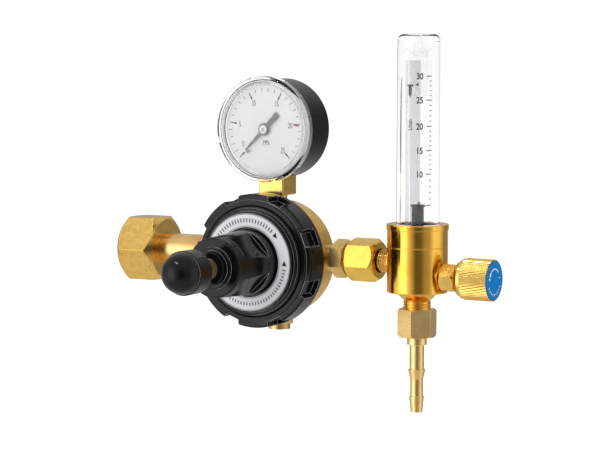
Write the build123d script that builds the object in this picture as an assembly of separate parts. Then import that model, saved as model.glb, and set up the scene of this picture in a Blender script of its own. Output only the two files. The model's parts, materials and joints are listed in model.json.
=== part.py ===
from build123d import *
import os
from math import cos, radians, sin, sqrt

# A welding-gas flow regulator: cylinder nut and nipple, pressure regulator with its gauge,
# and a flow meter with its valve and hose tail. Millimetres, +Z up, -Y towards the user.
# The origin is the centre of the inlet nut's threaded mouth, which faces -X.

# Clearances
running_gap = 0.06
slide_gap = 0.3
face_gap = 0.1
seal_gap = 0.05

# Small edges, and how far a cutter reaches past the face it opens
edge = 0.5
fine_edge = 0.3
cut_over = 1.0
cut_beyond = 12.0
envelope_over = 0.01

# Where the axes stand
inlet_reach = 87.0
main_drop = 1.2
gauge_rise = 64.0
relief_back = 2.0
valve_drop = 6.5

# Inlet nut and nipple
inlet_af = 32.0
inlet_nut_length = 21.0
inlet_chamfer = 3.3
inlet_thread_radius = 12.1
inlet_thread_length = 12.0
inlet_groove_radius = 13.4
inlet_end_wall = 3.8
nipple_radius = 8.0
nipple_flange_radius = 11.9
nipple_flange = 3.2
nipple_bore_radius = 3.5
nipple_embedded = 9.0
inlet_gasket_thickness = 1.5
inlet_gasket_inner = 6.2
inlet_gasket_outer = 10.9
filter_radius = 5.5
filter_length = 8.0
filter_wall = 1.2

# Regulator body
drum_radius = 29.0
drum_back = 9.0
drum_edge = 3.0
clamp_thread_radius = 29.8
body_front = 17.0
chamber_radius = 22.0
chamber_depth = 5.0
high_passage_radius = 2.0
low_passage_radius = 2.2
gauge_port_radius = 4.9
gauge_port_depth = 10.0
gauge_pad_radius = 8.4
gauge_pad_cut = 0.8
gauge_passage_radius = 1.0
relief_port_radius = 5.0
relief_port_depth = 7.8
relief_pad_radius = 8.8
relief_pad_cut = 0.6
relief_passage_radius = 1.5
relief_passage_reach = 18.0
relief_drill_radius = 1.9
outlet_drill_reach = 17.0
outlet_drill_radius = 2.6

# Reducing valve
seat_radius = 6.0
seat_length = 6.0
seat_hole_radius = 2.0
high_chamber_radius = 7.0
high_chamber_length = 9.0
poppet_radius = 4.0
poppet_length = 4.0
poppet_pin_radius = 1.0
poppet_stem_radius = 1.5
poppet_stem_length = 10.5
plug_radius = 8.0
plug_af = 17.0
plug_turn = 30.0
plug_head = 4.0
plug_chamfer = 1.0
plug_cup_depth = 4.0
plug_cup_radius = 3.9
plug_guide_depth = 3.2
valve_spring_radius = 3.0
valve_spring_wire = 0.45
valve_spring_turns = 4

# Diaphragm, plates and adjusting spring
diaphragm_radius = 29.2
diaphragm_thickness = 1.0
button_radius = 5.0
button_thickness = 1.5
rivet_radius = 2.0
plate_radius = 14.0
plate_thickness = 1.5
plate_rim_height = 1.0
plate_rim_wall = 1.0
main_spring_length = 24.5
main_spring_radius = 9.8
main_spring_wire = 1.2
main_spring_turns = 6
spring_plate_radius = 11.8
spring_plate_thickness = 3.0
spring_boss_radius = 7.6
spring_boss_height = 2.0
screw_dimple = 1.0

# Bonnet
bonnet_flange_radius = 29.4
bonnet_flange = 4.0
bonnet_step_radius = 27.5
bonnet_step_height = 4.6
bonnet_bead_radius = 26.5
bonnet_bead_height = 1.4
bonnet_rim_radius = 25.3
bonnet_rim_proud = 0.4
label_plane = 30.0
label_outer_radius = 24.35
label_inner_radius = 17.5
label_thickness = 0.4
tower_base_radius = 16.5
tower_end_radius = 14.7
tower_end = 63.0
tower_edge = 1.0
tower_groove = 1.0
tower_flat_count = 4
tower_first_flat = 45.0
tower_across_flats = 27.6
tower_flats_start = 36.0
tower_flats_end = 57.0
nose_step_radius = 10.3
nose_step = 1.2
nose_radius = 8.7
nose_length = 5.0
spring_bore_radius = 12.4
spring_bore_length = 33.0
dish_radius = 23.0
dish_depth = 6.0
insert_radius = 7.0
insert_length = 9.0
insert_flange_radius = 8.6
insert_flange = 1.6

# Clamp ring
clamp_radius = 33.5
clamp_length = 14.0
clamp_lip = 4.0
clamp_lip_radius = 27.8
clamp_edge = 1.0
clamp_collar_radius = 30.6
clamp_collar_height = 1.2
clamp_notch_count = 8
clamp_first_notch = 22.5
clamp_notch_depth = 2.5
clamp_back_rim = 3.0
clamp_notch_outer_angle = 17.0
clamp_notch_floor_angle = 13.0

# Adjusting screw and knob
screw_radius = 4.95
screw_tip_radius = 3.5
screw_tip_length = 3.0
screw_showing = 13.0
screw_in_knob = 8.0
knob_radius = 10.75
knob_length = 10.4
knob_edge = 0.8
knob_dome_radius = 10.0
knob_dome_flat = 0.1

# Relief valve
relief_af = 14.0
relief_hex_height = 5.2
relief_chamfer = 0.7
relief_skirt_radius = 5.6
relief_skirt_height = 3.0
relief_bore_radius = 3.6
relief_nozzle_radius = 1.5
relief_nozzle_wall = 2.0
relief_poppet_radius = 3.3
relief_poppet_height = 2.2
relief_cap_height = 2.0
relief_vent_radius = 1.2
relief_spring_radius = 2.3
relief_spring_wire = 0.4
relief_spring_turns = 5

# Gauge
stem_side = 14.0
stem_bottom = 30.5
stem_edge = 0.5
stem_washer = 1.2
case_radius = 25.0
case_back = 10.0
case_front = 13.3
case_wall = 1.0
case_edge = 2.5
window_wall = 1.4
window_front = 16.2
window_skirt = 4.6
window_thickness = 1.5
window_lip_radius = 22.3
window_lip_wall = 0.9
window_edge = 1.2
window_notch_count = 4
window_first_notch = 13.0
window_notch_width = 3.0
window_notch_depth = 0.8
window_notch_length = 2.0
dial_gap = 0.3
dial_back = 11.6
dial_thickness = 0.8
dial_ledge = 1.2
dial_hole_radius = 1.0
stop_pin_radius = 1.1
stop_pin_reach = 14.0
stop_pin_height = 2.0
arbor_radius = 0.6
pointer_back = 13.2
pointer_thickness = 0.5
pointer_length = 14.8
pointer_tail = 11.0
pointer_tail_width = 3.0
pointer_neck_width = 2.0
pointer_tip_width = 0.6
pointer_hub_radius = 3.1
pointer_cap_radius = 2.4
pointer_cap_height = 0.8
pointer_zero = 225.0
bourdon_radius = 16.5
bourdon_long = 5.0
bourdon_short = 2.2
bourdon_arc = 250.0
movement_plate = 1.0
movement_back = 4.0
movement_front = 5.5
movement_half_width = 4.5
movement_rise = 6.0
movement_pillar = 1.0
movement_pillar_inset = 1.5

# Outlet joint
neck_radius = 6.5
neck_embedded = 8.0
neck_showing = 5.0
small_af = 17.0
small_hex = 7.0
small_chamfer = 1.4
small_turn = 21.5
union_thread = 10.0
union_af = 19.0
union_gap = 2.0
union_length = 15.5
union_end_wall = 5.0
union_chamfer = 2.0
union_hole_radius = 6.1
union_turn = 15.5
tail_showing = 5.5
tail_radius = 5.1
tail_head_radius = 6.4
tail_embedded = 6.0

# Flow meter body
flow_radius = 15.0
flow_bottom = -14.5
flow_top = 19.3
flow_edge = 0.6
lip_radius = 15.4
lip_height = 2.7
line_height = 7.9
line_width = 0.4
line_depth = 0.25
cone_radius = 10.6
cone_height = 4.0
hose_thread_radius = 6.6
hose_thread_end = -30.0
socket_radius = 10.7
socket_floor = 8.0
pocket_radius = 6.7
pocket_depth = 3.0
return_passage_radius = 1.0
return_passage_reach = 7.9
outlet_passage_radius = 2.0
valve_pad_radius = 7.6
valve_pad_reach = 14.2

# Flow meter tubes and float
outer_tube_top = 112.0
outer_tube_top_radius = 10.4
outer_tube_wall = 2.1
outer_tube_roof = 3.5
outer_tube_edge = 3.0
outer_seal_radius = 9.5
outer_seal_section = 0.8
metering_radius = 6.5
metering_top = 104.4
metering_bore_bottom = 3.95
metering_bore_top = 4.7
tube_seal_thickness = 1.5
tube_seal_inner = 4.2
float_stop_radius = 3.85
float_stop_hole = 1.3
float_rest = 17.2
float_height = 11.5
float_rim_radius = 3.65
float_rim = 0.9
float_radius = 3.0
float_tip_radius = 1.8
float_tip = 3.2
holder_plug_radius = 4.5
holder_plug = 3.3
holder_flange_radius = 6.5
holder_flange = 1.0
holder_post_radius = 2.0
holder_hole_count = 4
holder_hole_radius = 0.8
holder_hole_reach = 3.2
holder_fin_count = 4
holder_first_fin = 20.0
holder_fin_inner = 5.5
holder_fin_outer = 7.9
holder_fin_width = 1.4
holder_fin_hang = 3.0

# Flow valve
gland_af = 13.0
gland_turn = 50.0
gland_hex = 8.0
gland_chamfer = 1.2
gland_nose_radius = 5.6
gland_nose = 0.5
gland_thread_radius = 5.0
gland_thread = 4.0
needle_seat_reach = 4.0
needle_seat_radius = 1.2
needle_chamber_radius = 3.2
needle_end_radius = 0.45
spindle_radius = 2.5
spindle_groove_radius = 1.65
spindle_seal_section = 0.75
spindle_seal_reach = 11.6
seal_chamber_radius = 3.25
seal_chamber_end = 15.0
spindle_in_knob = 12.0
flow_knob_gap = 0.8
flow_knob_length = 17.8
flow_knob_radius = 10.25
flow_knob_collar = 3.4
flow_knob_collar_radius = 9.8
flow_knob_cone = 1.8
flow_knob_cone_radius = 8.5
knurl_count = 44
knurl_depth = 0.45
knurl_twist = 17.0
knurl_steps = 10
knob_disc_radius = 9.5
knob_disc_thickness = 0.8
knob_disc_proud = 0.25

# Hose nut and tail
hose_af = 17.0
hose_nut_top = -22.6
hose_nut_height = 14.0
hose_nut_wall = 2.8
hose_chamfer = 1.0
hose_turn = 38.0
tail_collar_radius = 4.9
tail_collar_end = -40.5
barb_bore_radius = 2.0
barb_stem_radius = 3.6
barb_neck_radius = 3.2
barb_edge = 0.2
first_barb = -52.6
first_barb_radius = 4.35
first_barb_length = 4.9
second_barb = -66.0
second_barb_radius = 3.7
hose_tip_radius = 2.9
hose_tip = -74.0

# Axes: each one's local X runs along the axis, so a turned piece is drawn as (along, radius)
outlet_union_reach = neck_showing + small_hex + union_gap + union_length
outlet_reach = drum_radius + outlet_union_reach + tail_showing + flow_radius
main_x = inlet_reach
flow_x = inlet_reach + outlet_reach
inlet_axis = Plane((0, 0, 0), x_dir=(1, 0, 0), z_dir=(0, 0, 1)).location
port_axis = Plane((main_x, 0, 0), x_dir=(1, 0, 0), z_dir=(0, 0, 1)).location
main_axis = Plane((main_x, 0, -main_drop), x_dir=(0, -1, 0), z_dir=(0, 0, 1)).location
gauge_axis = Plane((main_x, 0, gauge_rise), x_dir=(0, -1, 0), z_dir=(0, 0, 1)).location
stem_axis = Plane((main_x, 0, 0), x_dir=(0, 0, 1), z_dir=(0, -1, 0)).location
relief_axis = Plane((main_x, relief_back, -main_drop), x_dir=(0, 0, -1), z_dir=(0, -1, 0)).location
flow_axis = Plane((flow_x, 0, 0), x_dir=(0, 0, 1), z_dir=(0, -1, 0)).location
valve_axis = Plane((flow_x, 0, -valve_drop), x_dir=(1, 0, 0), z_dir=(0, 0, 1)).location


def turned(points):
    """A solid turned about local X from (along, radius) points; a third number rounds a corner."""
    outline = make_face(Polyline(*[(p[0], p[1]) for p in points], close=True))
    for p in points:
        if len(p) == 3:
            corner = min(outline.vertices(), key=lambda v: (v.X - p[0]) ** 2 + (v.Y - p[1]) ** 2)
            outline = fillet(corner, p[2])
    return revolve(outline, Axis.X, 360)


def rod(start, end, radius, inner=0.0):
    """A plain cylinder or tube along local X."""
    return turned([(start, inner), (start, radius), (end, radius), (end, inner)])


def hexagon(across_flats, start, end, turn=0.0, start_chamfer=0.0, end_chamfer=0.0):
    """A hexagon bar along local X, its corners turned off at 45 degrees."""
    corner = across_flats / sqrt(3)
    section = RegularPolygon(across_flats / 2, 6, major_radius=False, rotation=turn)
    bar = extrude(Plane.YZ.offset(start) * section, end - start)
    envelope = turned(
        [
            (start, 0),
            (start, corner - start_chamfer),
            (start + start_chamfer, corner + envelope_over),
            (end - end_chamfer, corner + envelope_over),
            (end, corner - end_chamfer),
            (end, 0),
        ]
    )
    return bar & envelope


def around(shape, count, first=0.0):
    """Copies of a shape spaced evenly round local X."""
    return [Rot(first + 360 * i / count, 0, 0) * shape for i in range(count)]


def coil_spring(start, end, mean_radius, wire_radius, turns):
    """A round-wire spring along local X between two faces."""
    height = end - start - 2 * wire_radius
    path = Helix(height / turns, height, mean_radius)
    wire = sweep(Plane(path @ 0, z_dir=path % 0) * Circle(wire_radius), path=path, is_frenet=True)
    return Plane.YZ.location * Pos(0, 0, start + wire_radius) * wire


def o_ring(at, mean_radius, section_radius):
    """A torus round local X."""
    return Pos(at, 0, 0) * Rot(0, 90, 0) * Torus(mean_radius, section_radius)


# Inlet nut, nipple, gasket and filter
inlet_wall_back = inlet_nut_length - inlet_end_wall
flange_start = inlet_wall_back - face_gap - nipple_flange
nipple_end = inlet_reach - drum_radius + nipple_embedded


def make_inlet_union_nut():
    nut = hexagon(inlet_af, 0, inlet_nut_length, 0, inlet_chamfer, inlet_chamfer)
    nut -= rod(0, inlet_thread_length, inlet_thread_radius)
    nut -= rod(inlet_thread_length, inlet_wall_back, inlet_groove_radius)
    nut -= rod(inlet_wall_back, inlet_nut_length, nipple_radius + running_gap)
    return inlet_axis * nut


def make_inlet_nipple():
    flange_end = flange_start + nipple_flange
    filter_end = flange_start + filter_length
    return inlet_axis * turned(
        [
            (flange_start, filter_radius),
            (flange_start, nipple_flange_radius, edge),
            (flange_end, nipple_flange_radius),
            (flange_end, nipple_radius),
            (nipple_end, nipple_radius),
            (nipple_end, nipple_bore_radius),
            (filter_end, nipple_bore_radius),
            (filter_end, filter_radius),
        ]
    )


def make_inlet_gasket():
    start = flange_start - inlet_gasket_thickness
    return inlet_axis * rod(start, flange_start, inlet_gasket_outer, inlet_gasket_inner)


def make_inlet_filter():
    end = flange_start + filter_length
    thimble = rod(flange_start, end, filter_radius)
    thimble -= rod(flange_start + filter_wall, end, filter_radius - filter_wall)
    return inlet_axis * thimble


# Regulator body, bored for its valve, gauge, relief valve, inlet and outlet
chamber_floor = body_front - chamber_depth
seat_back = chamber_floor - seat_length
high_chamber_back = seat_back - high_chamber_length
clamp_back = body_front - (clamp_length - clamp_lip - bonnet_flange - diaphragm_thickness)
gauge_pad_height = drum_radius - main_drop - gauge_pad_cut
gauge_port_floor = gauge_pad_height - gauge_port_depth
relief_pad_reach = drum_radius - relief_pad_cut
relief_port_floor = relief_pad_reach - relief_port_depth
neck_start = drum_radius - neck_embedded


def make_regulator_body():
    body = turned(
        [
            (-drum_back, 0),
            (-drum_back, drum_radius, drum_edge),
            (clamp_back, drum_radius),
            (clamp_back, clamp_thread_radius),
            (body_front, clamp_thread_radius),
            (body_front, 0),
        ]
    )
    body -= rod(chamber_floor, body_front, chamber_radius)
    body -= rod(seat_back, chamber_floor, seat_radius)
    body -= rod(high_chamber_back, seat_back, high_chamber_radius)
    body -= rod(-drum_back, high_chamber_back, plug_radius)
    outlet_drill = rod(-outlet_drill_radius - cut_over, chamber_floor, outlet_drill_radius)
    body -= Pos(0, outlet_drill_reach, main_drop) * outlet_drill
    relief_drill_end = relief_back + relief_drill_radius + cut_over
    relief_drill = rod(-relief_drill_end, chamber_floor, relief_drill_radius)
    body -= Pos(0, 0, -relief_passage_reach) * relief_drill
    body = main_axis * body
    body -= inlet_axis * rod(nipple_end - nipple_embedded - cut_beyond, nipple_end, nipple_radius)
    body -= inlet_axis * rod(nipple_end, inlet_reach, high_passage_radius)
    body -= port_axis * rod(neck_start, drum_radius + cut_beyond, neck_radius)
    body -= port_axis * rod(outlet_drill_reach, neck_start, low_passage_radius)
    body -= stem_axis * rod(gauge_pad_height, gauge_pad_height + cut_beyond, gauge_pad_radius)
    body -= stem_axis * rod(gauge_port_floor, gauge_pad_height, gauge_port_radius)
    body -= stem_axis * rod(0, gauge_port_floor, gauge_passage_radius)
    body -= relief_axis * rod(relief_pad_reach, relief_pad_reach + cut_beyond, relief_pad_radius)
    body -= relief_axis * rod(relief_port_floor, relief_pad_reach, relief_port_radius)
    body -= relief_axis * rod(relief_passage_reach, relief_port_floor, relief_passage_radius)
    return body


# Reducing valve: seat, poppet, return spring and rear plug
plug_cup_floor = high_chamber_back - plug_cup_depth
button_back = body_front - button_thickness


def make_valve_seat():
    return main_axis * rod(seat_back, chamber_floor, seat_radius, seat_hole_radius)


def make_reducing_valve():
    head_back = seat_back - poppet_length
    return main_axis * turned(
        [
            (head_back - poppet_stem_length, 0),
            (head_back - poppet_stem_length, poppet_stem_radius),
            (head_back, poppet_stem_radius),
            (head_back, poppet_radius),
            (seat_back, poppet_radius),
            (seat_back, poppet_pin_radius),
            (button_back, poppet_pin_radius),
            (button_back, 0),
        ]
    )


def make_valve_spring():
    return main_axis * coil_spring(
        plug_cup_floor, seat_back - poppet_length, valve_spring_radius, valve_spring_wire, valve_spring_turns
    )


def make_valve_plug():
    plug = rod(-drum_back, high_chamber_back, plug_radius)
    plug += hexagon(plug_af, -drum_back - plug_head, -drum_back, plug_turn, plug_chamfer)
    plug -= rod(plug_cup_floor, high_chamber_back, plug_cup_radius)
    guide_floor = plug_cup_floor - plug_guide_depth
    plug -= rod(guide_floor, plug_cup_floor, poppet_stem_radius + running_gap)
    return main_axis * plug


# Diaphragm, its plate, the adjusting spring and the spring plate
diaphragm_front = body_front + diaphragm_thickness
plate_front = diaphragm_front + plate_thickness
spring_plate_back = plate_front + main_spring_length
spring_plate_front = spring_plate_back + spring_plate_thickness
screw_tip = spring_plate_front - screw_dimple


def make_diaphragm():
    return main_axis * rod(body_front, diaphragm_front, diaphragm_radius, rivet_radius)


def make_diaphragm_plate():
    rim_inner = main_spring_radius + main_spring_wire + slide_gap
    plate = rod(button_back, body_front, button_radius)
    plate += rod(body_front, diaphragm_front, rivet_radius)
    plate += rod(diaphragm_front, plate_front, plate_radius)
    plate += rod(plate_front, plate_front + plate_rim_height, rim_inner + plate_rim_wall, rim_inner)
    return main_axis * plate


def make_adjusting_spring():
    return main_axis * coil_spring(
        plate_front, spring_plate_back, main_spring_radius, main_spring_wire, main_spring_turns
    )


def make_spring_plate():
    plate = rod(spring_plate_back, spring_plate_front, spring_plate_radius)
    plate += rod(spring_plate_back - spring_boss_height, spring_plate_back, spring_boss_radius)
    plate -= rod(screw_tip, spring_plate_front, screw_tip_radius + running_gap)
    return main_axis * plate


# Bonnet with its brass insert and label ring
flange_front = diaphragm_front + bonnet_flange
step_front = flange_front + bonnet_step_height
bead_front = step_front + bonnet_bead_height
label_back = label_plane - label_thickness
spring_bore_front = diaphragm_front + spring_bore_length
insert_front = spring_bore_front + insert_length
nose_end = tower_end + nose_length


def make_bonnet():
    bonnet = turned(
        [
            (diaphragm_front, 0),
            (diaphragm_front, bonnet_flange_radius),
            (flange_front, bonnet_flange_radius),
            (flange_front, bonnet_step_radius),
            (step_front, bonnet_step_radius, edge),
            (step_front, bonnet_bead_radius),
            (bead_front, bonnet_bead_radius, edge),
            (bead_front, bonnet_rim_radius),
            (label_plane + bonnet_rim_proud, bonnet_rim_radius, fine_edge),
            (label_plane + bonnet_rim_proud, label_outer_radius),
            (label_back, label_outer_radius),
            (label_back, label_inner_radius),
            (label_back - tower_groove, label_inner_radius),
            (label_back - tower_groove, 0),
        ]
    )
    bonnet += make_tower()
    bonnet -= rod(diaphragm_front, diaphragm_front + dish_depth, dish_radius)
    bonnet -= rod(diaphragm_front, spring_bore_front, spring_bore_radius)
    bonnet -= rod(spring_bore_front, insert_front, insert_radius)
    bonnet -= rod(insert_front, nose_end, screw_radius + slide_gap)
    return main_axis * bonnet


def make_tower():
    """The bonnet's tower: a taper with wrench flats between a round foot and a round end."""
    start = label_back - tower_groove
    tower = turned(
        [
            (start, 0),
            (start, tower_base_radius),
            (tower_end, tower_end_radius, tower_edge),
            (tower_end, nose_step_radius),
            (tower_end + nose_step, nose_step_radius, edge),
            (tower_end + nose_step, nose_radius),
            (nose_end, nose_radius, edge),
            (nose_end, 0),
        ]
    )
    flats_length = tower_flats_end - tower_flats_start
    side = 2 * tower_base_radius
    cutter = Pos(
        tower_flats_start + flats_length / 2, 0, tower_across_flats / 2 + side / 2
    ) * Box(flats_length, side, side)
    for flat in around(cutter, tower_flat_count, tower_first_flat):
        tower -= flat
    return tower


def make_bonnet_insert():
    insert = rod(spring_bore_front, insert_front, insert_radius)
    insert += rod(spring_bore_front - insert_flange, spring_bore_front, insert_flange_radius)
    insert -= rod(spring_bore_front - insert_flange, insert_front, screw_radius + running_gap)
    return main_axis * insert


def make_label_ring():
    return main_axis * rod(label_back, label_plane, label_outer_radius, label_inner_radius)


# Clamp ring with castellated rim
def make_clamp_ring():
    lip_back = flange_front
    clamp_front = lip_back + clamp_lip
    lug_front = clamp_front - clamp_collar_height
    ring = turned(
        [
            (clamp_back, clamp_thread_radius),
            (clamp_back, clamp_radius, edge),
            (lug_front, clamp_radius, clamp_edge),
            (lug_front, clamp_collar_radius),
            (clamp_front, clamp_collar_radius, edge),
            (clamp_front, clamp_lip_radius, edge),
            (lip_back, clamp_lip_radius),
            (lip_back, clamp_thread_radius),
        ]
    )
    floor = clamp_radius - clamp_notch_depth
    outside = clamp_radius + cut_over
    floor_half = radians(clamp_notch_floor_angle / 2)
    outer_half = radians(clamp_notch_outer_angle / 2)
    section = make_face(
        Polyline(
            (floor * cos(floor_half), -floor * sin(floor_half)),
            (outside * cos(outer_half), -outside * sin(outer_half)),
            (outside * cos(outer_half), outside * sin(outer_half)),
            (floor * cos(floor_half), floor * sin(floor_half)),
            close=True,
        )
    )
    notch_length = clamp_length - clamp_back_rim
    notch = extrude(Plane.YZ.offset(clamp_back + clamp_back_rim) * section, notch_length)
    for cutter in around(notch, clamp_notch_count, clamp_first_notch):
        ring -= cutter
    return main_axis * ring


# Adjusting screw and knob
knob_back = nose_end + screw_showing
screw_end = knob_back + screw_in_knob
knob_shoulder = knob_back + knob_length


def make_adjusting_screw():
    shank_start = screw_tip + screw_tip_length
    return main_axis * turned(
        [
            (screw_tip, 0),
            (screw_tip, screw_tip_radius, edge),
            (shank_start, screw_tip_radius),
            (shank_start, screw_radius),
            (screw_end, screw_radius),
            (screw_end, 0),
        ]
    )


def make_adjusting_knob():
    dome_end = knob_shoulder + knob_dome_radius
    knob = turned(
        [
            (knob_back, 0),
            (knob_back, knob_radius, knob_edge),
            (knob_shoulder, knob_radius, knob_edge / 2),
            (knob_shoulder, knob_dome_radius),
            (dome_end, knob_dome_radius, knob_dome_radius - knob_dome_flat),
            (dome_end, 0),
        ]
    )
    return main_axis * (knob - rod(knob_back, screw_end, screw_radius))


# Relief valve below the body
relief_hex_end = relief_pad_reach + relief_hex_height
relief_end = relief_hex_end + relief_skirt_height
relief_bore_start = relief_port_floor + relief_nozzle_wall
relief_cap_start = relief_end - relief_cap_height
relief_poppet_end = relief_bore_start + relief_poppet_height


def make_relief_body():
    body = rod(relief_port_floor, relief_pad_reach, relief_port_radius)
    body += hexagon(relief_af, relief_pad_reach, relief_hex_end, 0, 0, relief_chamfer)
    body += rod(relief_hex_end, relief_end, relief_skirt_radius)
    body -= rod(relief_port_floor, relief_bore_start, relief_nozzle_radius)
    body -= rod(relief_bore_start, relief_end, relief_bore_radius)
    return relief_axis * body


def make_relief_poppet():
    poppet = rod(relief_bore_start, relief_poppet_end, relief_poppet_radius)
    spigot = relief_spring_radius - relief_spring_wire - slide_gap
    poppet += rod(relief_poppet_end, relief_poppet_end + relief_poppet_height, spigot)
    return relief_axis * poppet


def make_relief_spring():
    return relief_axis * coil_spring(
        relief_poppet_end, relief_cap_start, relief_spring_radius, relief_spring_wire, relief_spring_turns
    )


def make_relief_cap():
    return relief_axis * rod(relief_cap_start, relief_end, relief_bore_radius, relief_vent_radius)


# Gauge: stem, case, window, dial, pointer, Bourdon tube and movement frame
stem_top = gauge_rise - bourdon_radius + bourdon_short / 2 - face_gap
window_radius = case_radius + face_gap + window_wall
dial_radius = case_radius - case_wall - dial_gap


def make_bourdon_tube():
    section = Pos(0, bourdon_radius) * Ellipse(bourdon_long / 2, bourdon_short / 2)
    tube = revolve(section, Axis.X, bourdon_arc)
    return gauge_axis * Rot(-90, 0, 0) * tube


def make_gauge_socket():
    height = stem_top - stem_bottom
    block = Box(stem_side, stem_side, height)
    block = chamfer(block.edges().filter_by(Axis.Z) + block.edges().group_by(Axis.Z)[0], stem_edge)
    socket = Pos(main_x, 0, stem_bottom + height / 2) * block
    socket += stem_axis * rod(gauge_port_floor + stem_washer, stem_bottom, gauge_port_radius)
    socket -= stem_axis * rod(gauge_port_floor, stem_top - bourdon_short, gauge_passage_radius)
    return socket - make_bourdon_tube()


def make_stem_slot():
    """The opening for the stem in the case and in the window's skirt."""
    side = stem_side + 2 * running_gap
    return Pos(main_x, 0, gauge_rise - case_radius) * Box(side, side, case_radius / 2)


def make_gauge_gasket():
    end = gauge_port_floor + stem_washer
    return stem_axis * rod(gauge_port_floor, end, gauge_port_radius, 2 * gauge_passage_radius)


def make_gauge_case():
    inner = case_radius - case_wall
    case = turned(
        [
            (-case_back, 0),
            (-case_back, case_radius, case_edge),
            (case_front, case_radius),
            (case_front, inner),
            (dial_back, inner),
            (dial_back, inner - dial_ledge),
            (dial_back - dial_ledge, inner - dial_ledge),
            (dial_back - 2 * dial_ledge, inner),
            (case_wall - case_back, inner, case_edge - case_wall),
            (case_wall - case_back, 0),
        ]
    )
    return gauge_axis * case - make_stem_slot()


def make_gauge_window():
    inner = case_radius + face_gap
    back = window_front - window_skirt
    inside = window_front - window_thickness
    foot = case_radius - case_wall
    window = turned(
        [
            (back, inner),
            (back, window_radius),
            (window_front, window_radius, window_edge),
            (window_front, 0),
            (inside, 0),
            (inside, foot),
            (case_front, foot),
            (case_front, inner),
        ]
    )
    dial_front = dial_back + dial_thickness
    window += rod(dial_front + face_gap, inside, window_lip_radius + window_lip_wall, window_lip_radius)
    notch = Pos(window_front, window_radius, 0) * Box(
        2 * window_notch_length, 2 * window_notch_depth, window_notch_width
    )
    for cutter in around(notch, window_notch_count, window_first_notch):
        window -= cutter
    return gauge_axis * window - make_stem_slot()


def make_gauge_dial():
    front = dial_back + dial_thickness
    dial = rod(dial_back, front, dial_radius, dial_hole_radius)
    aside = pointer_tip_width / 2 + stop_pin_radius + face_gap
    pin = rod(front, front + stop_pin_height, stop_pin_radius)
    dial += Rot(pointer_zero, 0, 0) * Pos(0, stop_pin_reach, aside) * pin
    return gauge_axis * dial


def make_gauge_pointer():
    front = pointer_back + pointer_thickness
    blade = make_face(
        Polyline(
            (0, -pointer_neck_width / 2),
            (pointer_length, -pointer_tip_width / 2),
            (pointer_length, pointer_tip_width / 2),
            (0, pointer_neck_width / 2),
            close=True,
        )
    )
    tail = make_face(
        Polyline(
            (0, -pointer_neck_width / 2),
            (-pointer_tail, -pointer_tail_width / 2),
            (-pointer_tail, pointer_tail_width / 2),
            (0, pointer_neck_width / 2),
            close=True,
        )
    )
    flat = Plane.YZ.offset(pointer_back)
    pointer = extrude(flat * blade, pointer_thickness) + extrude(flat * tail, pointer_thickness)
    pointer = Rot(pointer_zero, 0, 0) * pointer
    pointer += rod(pointer_back, front, pointer_hub_radius)
    pointer += rod(front, front + pointer_cap_height, pointer_cap_radius)
    pointer += rod(-movement_back, pointer_back, arbor_radius)
    return gauge_axis * pointer


def make_gauge_movement():
    low = stem_top - gauge_rise
    height = movement_rise - low
    width = 2 * movement_half_width
    plate = Pos(movement_plate / 2, 0, low + height / 2) * Box(movement_plate, width, height)
    frame = Pos(-movement_back, 0, 0) * plate
    frame += Pos(movement_front - movement_plate, 0, 0) * plate
    pillar = rod(-movement_back, movement_front, movement_pillar)
    for side in (-1, 1):
        reach = side * (movement_half_width - movement_pillar_inset)
        frame += Pos(0, reach, movement_rise - 2 * movement_pillar) * pillar
    frame -= rod(-movement_back, movement_front, arbor_radius + running_gap)
    return gauge_axis * frame


# Outlet joint: fitting, union nut and tail
small_hex_start = drum_radius + neck_showing
small_hex_end = small_hex_start + small_hex
union_start = small_hex_end + union_gap
union_end = union_start + union_length
union_wall_back = union_end - union_end_wall
fitting_end = small_hex_end + union_thread
tail_end = outlet_reach - flow_radius + tail_embedded


def make_outlet_fitting():
    fitting = rod(neck_start, small_hex_start, neck_radius)
    fitting += hexagon(small_af, small_hex_start, small_hex_end, small_turn, edge, small_chamfer)
    fitting += rod(small_hex_end, fitting_end, neck_radius)
    fitting -= rod(neck_start, fitting_end, low_passage_radius)
    return port_axis * fitting


def make_outlet_union_nut():
    nut = hexagon(union_af, union_start, union_end, union_turn, union_chamfer / 2, union_chamfer)
    nut -= rod(union_start, union_wall_back, neck_radius)
    nut -= rod(union_wall_back, union_end, union_hole_radius)
    return port_axis * nut


def make_outlet_tail():
    tail = rod(fitting_end, union_wall_back, tail_head_radius)
    tail += rod(union_wall_back, tail_end, tail_radius)
    tail -= rod(fitting_end, tail_end, low_passage_radius)
    return port_axis * tail


# Flow meter body
pocket_floor = socket_floor - pocket_depth
gland_thread_start = valve_pad_reach - gland_thread


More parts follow.
